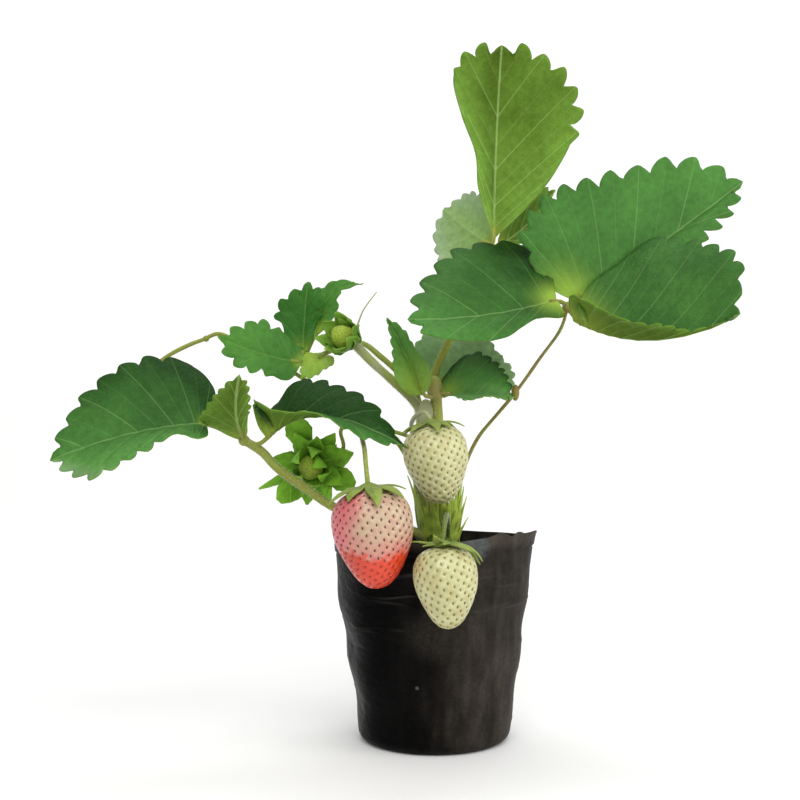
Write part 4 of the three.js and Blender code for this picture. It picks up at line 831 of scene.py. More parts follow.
def stipule(turn, length, width, lean, rows=12, columns=7):
    """Stipule at the crown: a strap that rises from the crown's side and leans out more towards its point,
    curved round the crown near its root."""
    a = math.radians(turn)
    out, across = np.array([math.cos(a), math.sin(a), 0]), np.array([-math.sin(a), math.cos(a), 0])
    s = np.linspace(0, 1, rows)
    tilt = np.radians(STIPULE_TILT - lean * s)[:, None]
    start = np.array([CROWN_X, 0, STIPULE_ROOT]) + out * (CROWN_RADIUS - STIPULE_INSET)
    middle = tilting_line(start, out, np.array([0, 0, 1]), tilt, length)
    half = (width / 2 * (1 - s ** STIPULE_TAPER) + 0.2)[:, None, None]
    k = np.linspace(-1, 1, columns)[None, :, None]
    return middle[:, None] + across * half * k - out * STIPULE_CUP * k ** 2 * (1 - s)[:, None, None]


def bag_radius(z, a):
    """Radius of the bag's wall at height z and angle a: foot to mouth by a power of the height, a bulge and a
    tuck at the left, soft folds up it, creases across it and a rounded corner at the foot."""
    rise = z / BAG_HEIGHT
    body = BAG_FOOT_RADIUS + (BAG_MOUTH_RADIUS - BAG_FOOT_RADIUS) * rise ** BAG_FLARE
    left = BAG_BULGE * bell(rise - 0.75, 0.22) - BAG_TUCK * bell(rise - 0.15, 0.2)
    bulge = np.maximum(0, -np.cos(a)) * left
    folds = FOLD_DEPTH * np.sin(5 * a + 2.2 * rise) * rise + FINE_FOLD_DEPTH * np.sin(9 * a - 3 * rise)
    crease = CREASE_DEPTH * np.sin(z / 4.1 + 1.6 * np.sin(2 * a)) * np.sin(np.pi * rise)
    under = np.maximum(0, BAG_CORNER - z)
    corner = BAG_CORNER - np.sqrt(BAG_CORNER ** 2 - under ** 2)
    return body + (bulge + folds + crease) * np.clip(z / 14, 0, 1) - corner


def rim_height(a):
    """Height of the rim: straight stretches between the heights of the rim line."""
    return np.interp(np.degrees(a) % 360, *zip(*RIM_LINE))


def from_right(angle):
    """Angle from the right side of the bag, between minus and plus half a turn."""
    return (angle + np.pi) % (2 * np.pi) - np.pi


def film_creases(z, a, seed=4):
    """Creases in the film: ridges 1 / (1 + (d / w)^2) about slightly tilted lines, each fading at its ends.
    The first few lie where the bag's front shows them, and the rest are scattered."""
    rng = np.random.default_rng(seed)
    count = LOOSE_CREASES
    scattered = np.stack([rng.uniform(-np.pi, np.pi, count), rng.uniform(0.15, 0.55, count),
                          rng.uniform(8, 74, count), rng.normal(0, 5, count), rng.uniform(-0.45, 0.6, count),
                          rng.uniform(0.4, 1.3, count)], -1)
    angle, span, level, slope, size, width = np.vstack([FRONT_CREASES, scattered]).T[:, :, None, None]
    turn = from_right(a[None] - angle)
    away = (z[None] - level - slope * turn - 0.6 * np.sin(9 * turn)) / width
    return (size * bell(turn, span) / (1 + away ** 2)).sum(0)


def bag_shell(film, crease, hem, rows=150, sides=300):
    """Bag film as one closed skin: from the middle of the underside out to the foot, up the outer wall, over
    the rim and down the inner wall. The hem is a band that stands out and ends in a small step. The rim is
    jagged by a sine in front and drawn out to a pinched corner at the right. Returns the points, the faces,
    and the share of a crease at each point."""
    angle = turns(sides)[None]
    level = np.concatenate([BAG_CORNER * (1 - np.cos(np.linspace(0, np.pi / 2, 8))),
                            np.linspace(BAG_CORNER, BAG_HEIGHT, rows)[1:]])[:, None]
    z = level + 0 * angle
    rise = np.clip((z - HEM_LEVEL) / (BAG_HEIGHT - HEM_LEVEL), 0, 1)
    turn, rim = from_right(angle), rim_height(angle)
    jag = RIM_JAG * np.sin(19 * angle) * bell(turn + 0.5, 0.7)
    lifted = z + rise * (rim - BAG_HEIGHT + jag)
    fade = np.clip((z - BAG_CORNER) / 8, 0, 1) * np.clip((BAG_HEIGHT + 1 - z) / 5, 0, 1)
    band = ease(lifted, rim - hem - HEM_EDGE, rim - hem + HEM_EDGE)
    tuck = -HEM_EDGE * bell(lifted - rim + hem + 0.5, 0.4)
    lip = RIM_WAVE * np.sin(11 * angle + 2 * np.sin(3 * angle)) * rise ** 3
    folds = film_creases(z, angle) * fade
    pinch = RIM_PINCH * bell(turn, 0.15) * rise ** 2
    radius = bag_radius(z, angle) + crease * folds + (HEM_STEP * band + tuck) * (z > 20) + lip + pinch
    outer = np.stack([radius, lifted], -1)
    bend = np.linspace(0, np.pi, 5)[1:-1, None]
    over = np.stack([radius[-1] - film / 2 * (1 - np.cos(bend)), lifted[-1] + film / 2 * np.sin(bend)], -1)
    inner = np.stack([radius - film, np.maximum(lifted, BAG_FLOOR)], -1)[::-1]
    middle = np.array([0.25, 0.6, 0.9])[:, None]
    under = np.stack([middle * radius[0][None], 0 * middle * angle], -1)
    floor = np.stack([middle[::-1] * (radius[0] - film)[None], 0 * middle * angle + BAG_FLOOR], -1)
    skin = np.concatenate([under, outer, over, inner, floor])
    points = upright(BAG_CENTRE_X, skin[..., 0], angle, skin[..., 1])
    marks = np.zeros((points[..., 0].size + 2, 3))
    start = under[..., 0].size
    marks[start:start + folds.size, 0] = folds.ravel()
    return (*poled_skin(points, (BAG_CENTRE_X, 0, 0), (BAG_CENTRE_X, 0, BAG_FLOOR)), marks)


def rough(x, y, seed, octaves=4, size=9.0):
    """Uneven ground: a sum of sine products, each finer and lower than the last, with random directions."""
    rng = np.random.default_rng(seed)
    total = 0 * x
    for octave in range(octaves):
        wave, scale = size / 1.9 ** octave, 0.6 ** octave
        for turn in rng.uniform(0, np.pi, 3):
            u, v = x * np.cos(turn) + y * np.sin(turn), y * np.cos(turn) - x * np.sin(turn)
            total = total + scale * np.sin(u / wave * 2.7 + turn * 9) * np.sin(v / wave * 2.1 + turn * 5) / 3
    return total


def ground(x, y, level):
    """Height of the soil about a level: lumps, and a low ring heaped round the crown."""
    heap = HEAP_HEIGHT * bell(np.hypot(x - CROWN_X, y) - HEAP_RADIUS, HEAP_WIDTH)
    return level + heap + LUMP_HEIGHT * rough(x, y, 3)


def soil_surface(rows=70, sides=200):
    """Soil: a closed body whose top is a disc of lumps and crumbs inside the bag, raised a little round the
    crown, with a side wall and a flat underside."""
    angle = turns(sides)[None]
    reach = bag_radius(np.array([[SOIL_RIM]]), angle) - SOIL_GAP
    share = np.linspace(1, 0.02, rows)[:, None]
    top = upright(BAG_CENTRE_X, share * reach, angle, 0.0)
    x, y = top[..., 0], top[..., 1]
    z = ground(x, y, SOIL_LEVEL - 0.6) + FINE_LUMP_HEIGHT * rough(x, y, 8, 3, 2.2)
    z = np.where(share > 0.97, np.minimum(z, SOIL_LEVEL - 0.3), z)
    wall = upright(BAG_CENTRE_X, np.array([0.6, 0.98])[:, None] * reach, angle, SOIL_FOOT)
    skin = np.concatenate([wall, np.stack([x, y, z], -1)])
    return poled_skin(skin, (BAG_CENTRE_X, 0, SOIL_FOOT), (BAG_CENTRE_X, 0, z[-1].mean()))


def soil_crumbs(size, count, seed=11):
    """Loose crumbs: small eggs of random proportions and turns, dented by a noise of their own, strewn on the
    soil between the crown and the bag."""
    rng = np.random.default_rng(seed)
    ball, faces = egg((0, 0, 0), 1, 1, rows=4, sides=7)
    angle, share = rng.uniform(0, 2 * np.pi, count), np.sqrt(rng.uniform(0.07, 0.93, count))
    reach = (bag_radius(SOIL_RIM + 0 * angle, angle) - CRUMB_GAP) * share
    x, y = BAG_CENTRE_X + reach * np.cos(angle), reach * np.sin(angle)
    z = ground(x, y, SOIL_LEVEL - 0.5) + rng.uniform(-0.2, 0.4, count)
    shape = rng.uniform(0.5, 1.1, (count, 3)) * size / 2 * rng.lognormal(0, 0.35, (count, 1))
    turned, _ = np.linalg.qr(rng.normal(size=(count, 3, 3)))
    turned *= np.sign(np.linalg.det(turned))[:, None, None]
    dent = 1 + 0.22 * rng.normal(size=(count, len(ball), 1))
    crumbs = np.einsum("nij,nvj->nvi", turned, ball[None] * shape[:, None] * dent)
    return copies(crumbs + np.stack([x, y, z], -1)[:, None], faces)


def crown_body(rows=60, sides=72):
    """Crown: an upright body whose radius falls to its top, ribbed where old leaf bases lie against it."""
    outline = smooth_line(CROWN_OUTLINE, rows)
    angle = turns(sides)[None]
    r, z = outline[:, :1], outline[:, 1:]
    ribs = 0.06 * np.abs(np.sin(3.5 * angle + z / 9)) + 0.03 * np.sin(8 * angle - z / 4)
    return poled_skin(upright(CROWN_X, r * (0.93 + ribs), angle, z), (CROWN_X, 0, CROWN_FOOT),
                      (CROWN_X, 0, CROWN_TOP))


# Materials

def add_node(tree, kind, inputs=(), ramp=(), **settings):
    """Adds a node, applies its settings and fills its inputs, by name or in order, with values or links. A
    node stands for its first output."""
    made = tree.nodes.new("ShaderNode" + kind)
    for name, value in settings.items():
        setattr(made, name, value)
    for k, (position, colour) in enumerate(ramp):
        stops = made.color_ramp.elements
        stop = stops[k] if k < len(stops) else stops.new(position)
        stop.position, stop.color = position, colour
    for name, value in inputs.items() if isinstance(inputs, dict) else enumerate(inputs):
        if isinstance(value, bpy.types.Node):
            value = value.outputs[0]
        if isinstance(value, bpy.types.NodeSocket):
            tree.links.new(value, made.inputs[name])
        else:
            made.inputs[name].default_value = value
    return made


def new_material(name):
    """Empty node material, and add_node set to work in it."""
    material = bpy.data.materials.get(name) or bpy.data.materials.new(name)
    material.use_nodes = True
    material.node_tree.nodes.clear()
    return material, functools.partial(add_node, material.node_tree)


def field_parts(add, name):
    """The three numbers of a piece's own field."""
    return add("SeparateXYZ", [add("Attribute", attribute_name=name).outputs["Vector"]]).outputs


def lay_over(add, colour, *layers):
    """Colour with layers mixed over it one by one, each with its share, its colour and, if not a plain mix,
    how it blends."""
    for share, layer, *how in layers:
        colour = add("Mix", {0: share, 6: colour, 7: layer}, data_type="RGBA",
                     blend_type=how[0] if how else "MIX").outputs[2]
    return colour


def finish_surface(add, inputs, bump=None):
    """Principled surface with these inputs and a bump of strength, depth and height, joined to the output."""
    if bump:
        inputs["Normal"] = add("Bump", dict(zip(("Strength", "Distance", "Height"), bump)))
    add("OutputMaterial", {"Surface": add("BsdfPrincipled", inputs)})


def leaf_material(name, deep, light, vein, root, vein_show, roughness, gloss, bump, side=0):
    """Strawberry leaf: grown tissue under a thin wax skin with fine hairs. It gives a soft satin, paler veins
    that fan from the base, a fine net between them and slow changes of green over a leaflet, which paint its
    light and shade as well as its own changes of green, with a painted pale sheen where the tone passes 1."""
    material, add = new_material(name)
    place = add("TexCoord").outputs["Object"]
    number, spacing, to_midrib = field_parts(add, "veins")
    tint = field_parts(add, "tint")
    # The tone field carries painted light and shade
    tone, near = tint[side], tint[1]
    # Blotches about 18 mm wide and mottling about 2.5 mm wide
    blotch = add("TexNoise", {"Vector": place, "Scale": 55, "Detail": 3})
    mottle = add("TexNoise", {"Vector": place, "Scale": 400, "Detail": 4})
    # Net of the smallest veins, about 1.8 mm wide
    net = add("TexVoronoi", {"Vector": place, "Scale": 560}, feature="DISTANCE_TO_EDGE")
    uneven = add("Math", [blotch, 0.7, -0.35], operation="MULTIPLY_ADD")
    level = add("Math", [tone, uneven], operation="ADD", use_clamp=True)
    # Painted sheen: tones above 1 go on to a pale grey-green
    painted_sheen = add("MapRange", [tone, 1.0, 1.6, 0, 1])
    flecks = add("MapRange", [mottle, 0.35, 0.7, 0.88, 1.12])
    net_line = add("MapRange", [net, 0.02, 0.14, 0.08 * vein_show, 0], interpolation_type="SMOOTHSTEP")
    # Side veins 0.5 mm wide, every second one fainter, and all faint where the painted shade is darkest
    off_vein = add("Math", [number, 0.5], operation="PINGPONG")
    from_vein = add("Math", [off_vein, spacing], operation="MULTIPLY")
    odd = add("Math", [number, 1.0], operation="PINGPONG")
    lit = add("MapRange", [tone, -0.4, 0.5, 0.3, 1])
    faint = add("MapRange", [odd, 0.2, 0.8, vein_show, 0.35 * vein_show])
    strength = add("Math", [lit, faint], operation="MULTIPLY")
    side_vein = add("MapRange", [from_vein, 0.05, 0.45, strength, 0], interpolation_type="SMOOTHSTEP")
    midrib = add("MapRange", [to_midrib, 0.15, 0.6, 1.3 * vein_show, 0], interpolation_type="SMOOTHSTEP")
    start = add("MapRange", [near, 0.12, 0.75, 0, 0.85], interpolation_type="SMOOTHSTEP")
    green = lay_over(add, deep, (level, light), (painted_sheen, linear("#9ab18a")), (1.0, flecks, "MULTIPLY"),
                     (net_line, vein), (side_vein, vein), (midrib, vein), (start, root))
    ridge = add("MapRange", [net, 0, 0.25, 0, 1])
    height = add("Math", [mottle, 0.5, ridge], operation="MULTIPLY_ADD")
    finish_surface(add, {"Base Color": green, "Roughness": roughness, "Specular IOR Level": gloss,
                         "Subsurface Weight": 0.06, "Subsurface Radius": (0.4, 1.0, 0.2),
                         "Subsurface Scale": 0.0008}, (bump, 0.00025, height))
    return material


def stem_material(name, green, flush, show):
    """Strawberry petiole: grown, juicy and hairy. It gives a satin green that is streaked lengthwise and
    browned by the sun in streaks and patches."""
    material, add = new_material(name)
    place = add("TexCoord").outputs["Object"]
    marks = add("Attribute", attribute_name="marks").outputs["Vector"]
    # Streaks about 0.6 mm wide and 12 mm long; the mark's numbers are radians round and millimetres along
    drawn_out = add("Mapping", {0: marks, 3: (2.2, 0.09, 1)})
    streak = add("TexNoise", {"Vector": drawn_out, "Scale": 1.6, "Detail": 4})
    patch = add("TexNoise", {"Vector": place, "Scale": 60, "Detail": 2})
    amount = add("Math", [streak, patch], operation="MULTIPLY")
    share = add("MapRange", [amount, 0.16, 0.38, 0, show], interpolation_type="SMOOTHSTEP")
    finish_surface(add, {"Base Color": lay_over(add, green, (share, flush)), "Roughness": 0.48,
                         "Sheen Weight": 0.1, "Sheen Roughness": 0.35, "Specular IOR Level": 0.25,
                         "Subsurface Weight": 0.1, "Subsurface Radius": (0.8, 1.0, 0.3),
                         "Subsurface Scale": 0.001}, (0.35, 0.0002, streak))
    return material


def hair_material():
    """Plant hair: a single grown cell, clear and silky. It gives a whitish fuzz against the light."""
    material, add = new_material("plant_hair")
    finish_surface(add, {"Base Color": linear("#dfe3c4"), "Roughness": 0.35, "Specular IOR Level": 0.5,
                         "Subsurface Weight": 0.3, "Subsurface Scale": 0.001})
    return material


def sepal_material(name, deep, light):
    """Strawberry sepal: grown leafy tissue, ribbed lengthwise and finely hairy. It gives a soft olive green
    with pale ribs and a paler point."""
    material, add = new_material(name)
    place = add("TexCoord").outputs["Object"]
    across, along, _ = field_parts(add, "marks")
    uneven = add("TexNoise", {"Vector": place, "Scale": 260, "Detail": 4})
    # Five ribs across a sepal
    wave = add("Math", [add("Math", [across, 15.7], operation="MULTIPLY")], operation="COSINE")
    rib = add("MapRange", [wave, 0.2, 1, 0, 0.35])
    level = add("Math", [along, 0.5, uneven], operation="MULTIPLY_ADD", use_clamp=True)
    tone = add("MapRange", [level, 0.3, 1.0, 0, 1])
    height = add("Math", [rib, uneven], operation="ADD")
    finish_surface(add, {"Base Color": lay_over(add, deep, (tone, light), (rib, light)), "Roughness": 0.55,
                         "Sheen Weight": 0.05, "Sheen Roughness": 0.4, "Specular IOR Level": 0.15,
                         "Subsurface Weight": 0.08, "Subsurface Scale": 0.001}, (0.4, 0.0003, height))
    return material


def flesh_material(name, cream, second, pink, red, roughness=0.3, gloss=0.5, coat=0.25):
    """Strawberry flesh: grown, moist and soft under a thin shining skin. It gives light that sinks in, a
    clear wet gloss and a colour that turns from cream over pink to red, with painted shade in the pits round
    each seed and a painted shade of darker crimson on the left side where it is red."""
    material, add = new_material(name)
    place = add("TexCoord").outputs["Object"]
    ripe, blush, in_pit = field_parts(add, "ripeness")
    # Mottling about 4 mm wide and pores about 0.4 mm wide
    mottle = add("TexNoise", {"Vector": place, "Scale": 240, "Detail": 4})
    pores = add("TexNoise", {"Vector": place, "Scale": 2400, "Detail": 2})
    base = add("MapRange", [mottle, 0.35, 0.65])
    drift = add("Math", [mottle, 0.5, -0.25], operation="MULTIPLY_ADD")
    pinkness = add("Math", [blush, drift], operation="ADD", use_clamp=True)
    ragged = add("Math", [drift, 2.4, ripe], operation="MULTIPLY_ADD")
    redness = add("MapRange", [ragged, 0.36, 0.7], interpolation_type="SMOOTHSTEP")
    # Painted shade: a darker crimson on the berry's left side, where it is red
    left = add("MapRange", [add("SeparateXYZ", [place]), -0.027, -0.036, 0, 0.6])
    left_painted_shade = add("Math", [left, redness], operation="MULTIPLY")
    # Painted shade in the pits round the seeds
    shade = add("MapRange", [in_pit, 0.15, 1, 1, 0.8])
    colour = lay_over(add, cream, (base, second), (pinkness, pink), (redness, red),
                      (left_painted_shade, linear("#9a2a1c")), (1.0, shade, "MULTIPLY"))
    finish_surface(add, {"Base Color": colour, "Roughness": roughness, "Specular IOR Level": gloss,
                         "Subsurface Weight": 0.25, "Subsurface Radius": (1.0, 0.6, 0.4),
                         "Subsurface Scale": 0.0015, "Coat Weight": coat, "Coat Roughness": 0.2},
                   (0.12, 0.0001, pores))
    return material


def seed_material(name, dark, light):
    """Strawberry seed: a dry, hard little nut. It gives a brown bead with a small glint, redder in ripe
    flesh."""
    material, add = new_material(name)
    place = add("TexCoord").outputs["Object"]
    share = add("MapRange", [add("TexNoise", {"Vector": place, "Scale": 300, "Detail": 1}), 0.35, 0.65])
    ripe = add("MapRange", [field_parts(add, "ripeness")[0], 0.35, 0.65])
    colour = lay_over(add, dark, (share, light), (ripe, linear("#a83a22")))
    finish_surface(add, {"Base Color": colour, "Roughness": 0.4})
    return material


def crown_material():
    """Strawberry crown: woody tissue wrapped in papery leaf bases. It gives a rough green-brown that is paler
    in strips."""
    material, add = new_material("crown_tissue_grown")
    place = add("TexCoord").outputs["Object"]
    # Upright strips about 1.5 mm wide and 12 mm long
    drawn_out = add("Mapping", {0: place, 3: (650, 650, 80)})
    grain = add("TexNoise", {"Vector": drawn_out, "Scale": 1, "Detail": 4})
    colour = add("ValToRGB", [grain], ramp=[(0.35, linear("#222c0a")), (0.5, linear("#4f6a1c")),
                                            (0.68, linear("#94a846")), (0.8, linear("#6e5a3a"))])
    finish_surface(add, {"Base Color": colour, "Roughness": 0.6, "Specular IOR Level": 0.15},
                   (0.5, 0.0006, grain))
    return material


def film_material(black, dust):
    """Polythene grow bag: blown black film, matted by handling and dusted with dried soil. It gives a satin
    black with soft broad glints on its creases and brown dust in smears. The dust grows to the right, where
    it also paints the light on that side, and at the hem, where it also paints a sheen. Painted highlights
    with some wear lie along the creases, and lighter spots are set on the film, the bluish one at the hem a
    painted sheen."""
    material, add = new_material("polythene_film_blown")
    place = add("TexCoord").outputs["Object"]
    x, _, z = add("SeparateXYZ", [place]).outputs
    # Dust smears about 25 mm wide, wiped lengthwise, over a fine dusting about 1 mm wide
    wiped = add("Mapping", {0: place, 3: (40, 40, 16)})
    smear = add("TexNoise", {"Vector": wiped, "Scale": 1, "Detail": 6, "Roughness": 0.65})
    powder = add("TexNoise", {"Vector": place, "Scale": 900, "Detail": 3})
    # More dust towards the right, which also paints the light on that side
    right = add("MapRange", [x, -0.024, 0.03, 0.0, 0.56], interpolation_type="SMOOTHSTEP")
    smeared = add("MapRange", [smear, 0.36, 0.64, 0.15, 1.3])
    # Streaks about 4.5 mm wide and 22 mm long
    drawn_out = add("Mapping", {0: place, 3: (220, 220, 45)})
    streak = add("TexNoise", {"Vector": drawn_out, "Scale": 1, "Detail": 4})
    streaked = add("MapRange", [streak, 0.33, 0.67, 0.6, 1.35])
    cover = add("Math", [add("Math", [right, smeared], operation="MULTIPLY"), streaked], operation="MULTIPLY")
    # At the hem the dust also paints a sheen on the film
    hem = add("MapRange", [z, 0.079, 0.084, 0, 1.0], interpolation_type="SMOOTHSTEP")
    hemmed = add("Math", [hem, smear, cover], operation="MULTIPLY_ADD")
    grain = add("MapRange", [powder, 0.3, 0.7, 0.75, 1.1])
    dust_and_painted_light = add("Math", [hemmed, grain], operation="MULTIPLY", use_clamp=True)
    # Painted highlights along the creases, with some wear
    crease_highlight_and_wear = add("MapRange", [field_parts(add, "marks")[0], 0.3, 0.9, 0, 0.75])
    layers = [(dust_and_painted_light, dust), (crease_highlight_and_wear, linear("#3a3936"))]
    # Lighter spots, the bluish one at the hem a painted sheen: full inside the core, broken up by the powder,
    # and gone at their reach
    for centre, core, reach, strength, tint in FILM_SPOTS:
        far = add("VectorMath", [place, centre], operation="DISTANCE").outputs["Value"]
        near = add("MapRange", [far, core, reach, 1.5 * strength, 0], interpolation_type="SMOOTHSTEP")
        broken = add("Math", [near, powder], operation="MULTIPLY", use_clamp=True)
        layers.append((broken, linear(tint)))
    colour = lay_over(add, black, *layers)
    matt = add("MapRange", [dust_and_painted_light, 0, 1, 0.36, 0.62])
    # Crinkles about 5 mm apart, longer across than up
    squeezed = add("Mapping", {0: place, 3: (130, 130, 260)})
    crinkle = add("TexNoise", {"Vector": squeezed, "Scale": 1, "Detail": 5, "Roughness": 0.55})
    height = add("Math", [powder, 0.06, crinkle], operation="MULTIPLY_ADD")
    finish_surface(add, {"Base Color": colour, "Roughness": matt, "Specular IOR Level": 0.035},
                   (0.6, 0.0012, height))
    return material


def soil_material(brown):
    """Potting mix: moist coir and peat with grit. It gives dark brown crumbs, no gloss and a few pale
    grains."""
    material, add = new_material("potting_mix_moist")
    place = add("TexCoord").outputs["Object"]
    # Crumbs about 1.4 mm wide and grit about 2.4 mm apart
    crumbs = add("TexNoise", {"Vector": place, "Scale": 700, "Detail": 6, "Roughness": 0.7})
    grit = add("TexVoronoi", {"Vector": place, "Scale": 420})
    tone = add("MapRange", [crumbs, 0.32, 0.68, 0.35, 1.9])
    pale = add("MapRange", [grit, 0.1, 0.16, 0.5, 0])
    colour = lay_over(add, brown, (1.0, tone, "MULTIPLY"), (pale, linear("#8b7860")))
    finish_surface(add, {"Base Color": colour, "Roughness": 0.92, "Specular IOR Level": 0.2},
                   (0.9, 0.0012, crumbs))
    return material


# Pieces

def gather(parts):
    """Points and faces of several parts in one list, with the count of faces in each part."""
    starts = np.cumsum([0] + [len(points) for points, _ in parts])
    faces = [[v + int(start) for v in face] for start, (_, part) in zip(starts, parts) for face in part]
    return np.vstack([points for points, _ in parts]), faces, [len(part) for _, part in parts]


def make_piece(name, points, faces, materials, slot, nodes, fields=None, kinds=None):
    """Puts a surface into a mesh object that rides on the plant and stands for the given nodes."""
    mesh = bpy.data.meshes.new(name)
    mesh.from_pydata((np.asarray(points) * MM).tolist(), [], faces)
    mesh.polygons.foreach_set("use_smooth", np.ones(len(mesh.polygons), bool))
    for material in materials:
        mesh.materials.append(material)
    if kinds is not None:
        mesh.polygons.foreach_set("material_index", np.asarray(kinds, np.int32))
    for field, values in (fields or {}).items():
        layer = mesh.attributes.new(field, "FLOAT_VECTOR", "POINT")
        layer.data.foreach_set("vector", np.asarray(values, np.float32).ravel())
    mesh.update()
    piece = bpy.data.objects.new(name, mesh)
    bpy.context.scene.collection.objects.link(piece)
    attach(piece, "root")
    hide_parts(*nodes)
    return piece


def thicken(piece, thickness, under=0, rim=0):
    """Gives a sheet its thickness, about its middle surface."""
    solid = piece.modifiers.new("Thickness", "SOLIDIFY")
    solid.thickness = thickness
    solid.offset = 0
    solid.material_offset = under
    solid.material_offset_rim = rim


def build_leaves(leaf, stem):
    """Blades and petioles of the five leaves."""
    top = leaf_material("leaf_top_waxed", (*leaf.deep, 1), (*leaf.light, 1), (*leaf.vein, 1),
                        linear("#8fae40"), vein_show=0.3, roughness=0.5, gloss=0.09, bump=0.35)
    under = leaf_material("leaf_underside_hairy", (*leaf.under_deep, 1), (*leaf.under_light, 1),
                          linear("#a2bd74"), linear("#84993a"), vein_show=0.35, roughness=0.7, gloss=0.03,
                          bump=0.45, side=2)
    young = leaf_material("leaf_young_glossy", (*leaf.young, 1), linear("#568f38"), linear("#86ad54"),
                          linear("#9ab545"), vein_show=0.15, roughness=0.45, gloss=0.12, bump=0.35)
    hair = hair_material()
    for number, (node, spec) in enumerate(LEAVES.items()):
        surfaces = [leaflet_surface(leaflet, leaf.relief / MM, leaflet.get("back", spec["back"]))
                    for leaflet in spec["leaflets"]]
        points, faces, _ = gather([surface[:2] for surface in surfaces])
        _, _, veins, tints = zip(*surfaces)
        skin = young if spec["slot"] == "leaf_young" else top
        blades = make_piece(f"{node}_blades", points, faces, [skin, under], spec["slot"], [node],
                            {"veins": np.vstack(veins), "tint": np.vstack(tints)})
        thicken(blades, leaf.thickness, under=1, rim=1)
        stems = [(spec["petiole"], spec["radius"], PETIOLE_HAIRS, PETIOLE_SWELLING, spec["taper"])]
        stems += [(path, *LEAFLET_STALK) for path in spec["stalks"]]
        green = stem_look(f"petiole_{node}", node, stem)
        build_stems(f"{node}_petiole", stems, spec["knobs"], green, hair, stem, spec["slot"], [node], number)


def stem_look(name, node, settings):
    """Material of a node's stems: its own colours where a table gives them, or else the settings' colours."""
    if node in STEM_TINTS:
        green, flush, share = STEM_TINTS[node]
        return stem_material(name, linear(green), linear(flush), share)
    return stem_material(name, (*settings.green, 1), (*settings.flush, 1), STEM_FLUSH[node])


def build_stems(name, stems, knobs, green, hair, settings, slot, nodes, seed):
    """One piece of stems given as (path, radius, hairs per square millimetre, swelling at the root, tip's
    share of the radius), their joints and their hairs."""
    made = [tube(path, radius, swell=swell, tip=tip) for path, radius, _, swell, tip in stems]
    joints = [egg(*knob) for knob in knobs]
    fuzz = [hairs(part[3], density, settings.hair_length / MM, settings.hair_width / MM, seed * 10 + k)
            for k, (part, (_, _, density, _, _)) in enumerate(zip(made, stems)) if density]
    points, faces, counts = gather([(part[0], part[1]) for part in made] + joints + fuzz)
    marks = np.zeros((len(points), 3))
    known = np.vstack([part[2] for part in made])
    marks[:len(known)] = known
    kinds = np.repeat([0] * (len(made) + len(joints)) + [1] * len(fuzz), counts)
    make_piece(name, points, faces, [green, hair], slot, nodes, {"marks": marks}, kinds)


def build_stalks(stem):
    """Fruit trusses, the lowest berry's pedicel and the runner. A node's first stem swells at its root, and
    threads taper."""
    hair = hair_material()
    for number, (node, spec) in enumerate(STALKS.items()):
        green = stem_look(f"stalk_{node}", node, stem)
        stems = [(path, radius, density, 0.0 if k else STALK_SWELLING,
                  THREAD_TIP if radius < THREAD_RADIUS else 1.0)
                 for k, (path, radius, density) in enumerate(spec["stems"])]
        build_stems(f"{node}_stems", stems, spec["knobs"], green, hair, stem, "stalk", [node], 20 + number)


def make_sepals(name, sheets, material, node, slot):
    """One piece of sepals from their grids, marked with the share across and the share along."""
    rows, columns = sheets[0].shape[:2]
    points, faces, _ = gather([(sheet.reshape(-1, 3), sheet_faces(rows, columns)) for sheet in sheets])
    along, across = np.meshgrid(np.linspace(0, 1, rows), np.linspace(-0.5, 0.5, columns), indexing="ij")
    marks = np.stack([across, along, 0 * across], -1).reshape(-1, 3)
    piece = make_piece(name, points, faces, [material], slot, [node],
                       {"marks": np.tile(marks, (len(sheets), 1))})
    thicken(piece, SEPAL_THICKNESS * MM)


def make_cap(name, berry, share, height, material, node, rows=8, sides=20):
    """Cap where a stalk meets its calyx: a low dome, its radius falling as the cosine of the share upward."""
    axis, east, north, _, _ = berry_axes(berry)
    rise = np.linspace(0, 0.96, rows)[:, None, None]
    radius = berry["radius"] * share * np.cos(rise * np.pi / 2)
    seat = np.array(berry["top"]) + axis * CAP_GAP
    skin = seat + axis * rise * height + radius * circle(turns(sides)[None], east, north)
    points, faces = poled_skin(skin, seat, seat + axis * height)
    make_piece(f"cap_of_{name}", points, faces, [material], "stalk", [node], {"marks": np.zeros_like(points)})


def shoulder_sheets(berry, sizes):
    """Sepals that lie on a ripe berry's shoulder. Their turns, lengths and lifts vary with their number."""
    by_turn, by_length, by_lift = SHOULDER_VARIETY
    for k in range(sizes["count"]):
        vary = math.sin(k * 2.4 + berry["radius"])
        turn = (k + by_turn * vary) * 2 * math.pi / sizes["count"]
        reach = 1 + sizes.get("right", 0) * math.cos(turn) - sizes.get("front", 0) * max(0, -math.sin(turn))
        yield shoulder_sepal(berry, turn, sizes, sizes["length"] * reach * (1 + by_length * vary),
                             sizes["lift"] * (1 + by_lift * vary))


def spread_sheets(berry, spread):
    """Sepals that stand round a young fruit: the outer ones as listed, and inner rings that vary with the
    sepal's number."""
    for turn, length, width in spread["sepals"]:
        angles = spread["from"], spread["to"] + LISTED_VARIETY * math.sin(turn)
        yield spread_sepal(berry, math.radians(turn), angles, spread["hook"], length, width,
                           len(spread["sepals"]))
    by_turn, by_length, by_root, by_point = INNER_VARIETY
    for count, length, width, low, high in spread["inner"]:
        for k in range(count):
            turn = (k + 0.5 + by_turn * math.sin(5 * k)) * 2 * math.pi / count
            angles = low + by_root * math.sin(3 * k + count), high + by_point * math.sin(4 * k)
            yield spread_sepal(berry, turn, angles, spread["hook"],
                               length * (1 + by_length * math.sin(7 * k)), width, count)


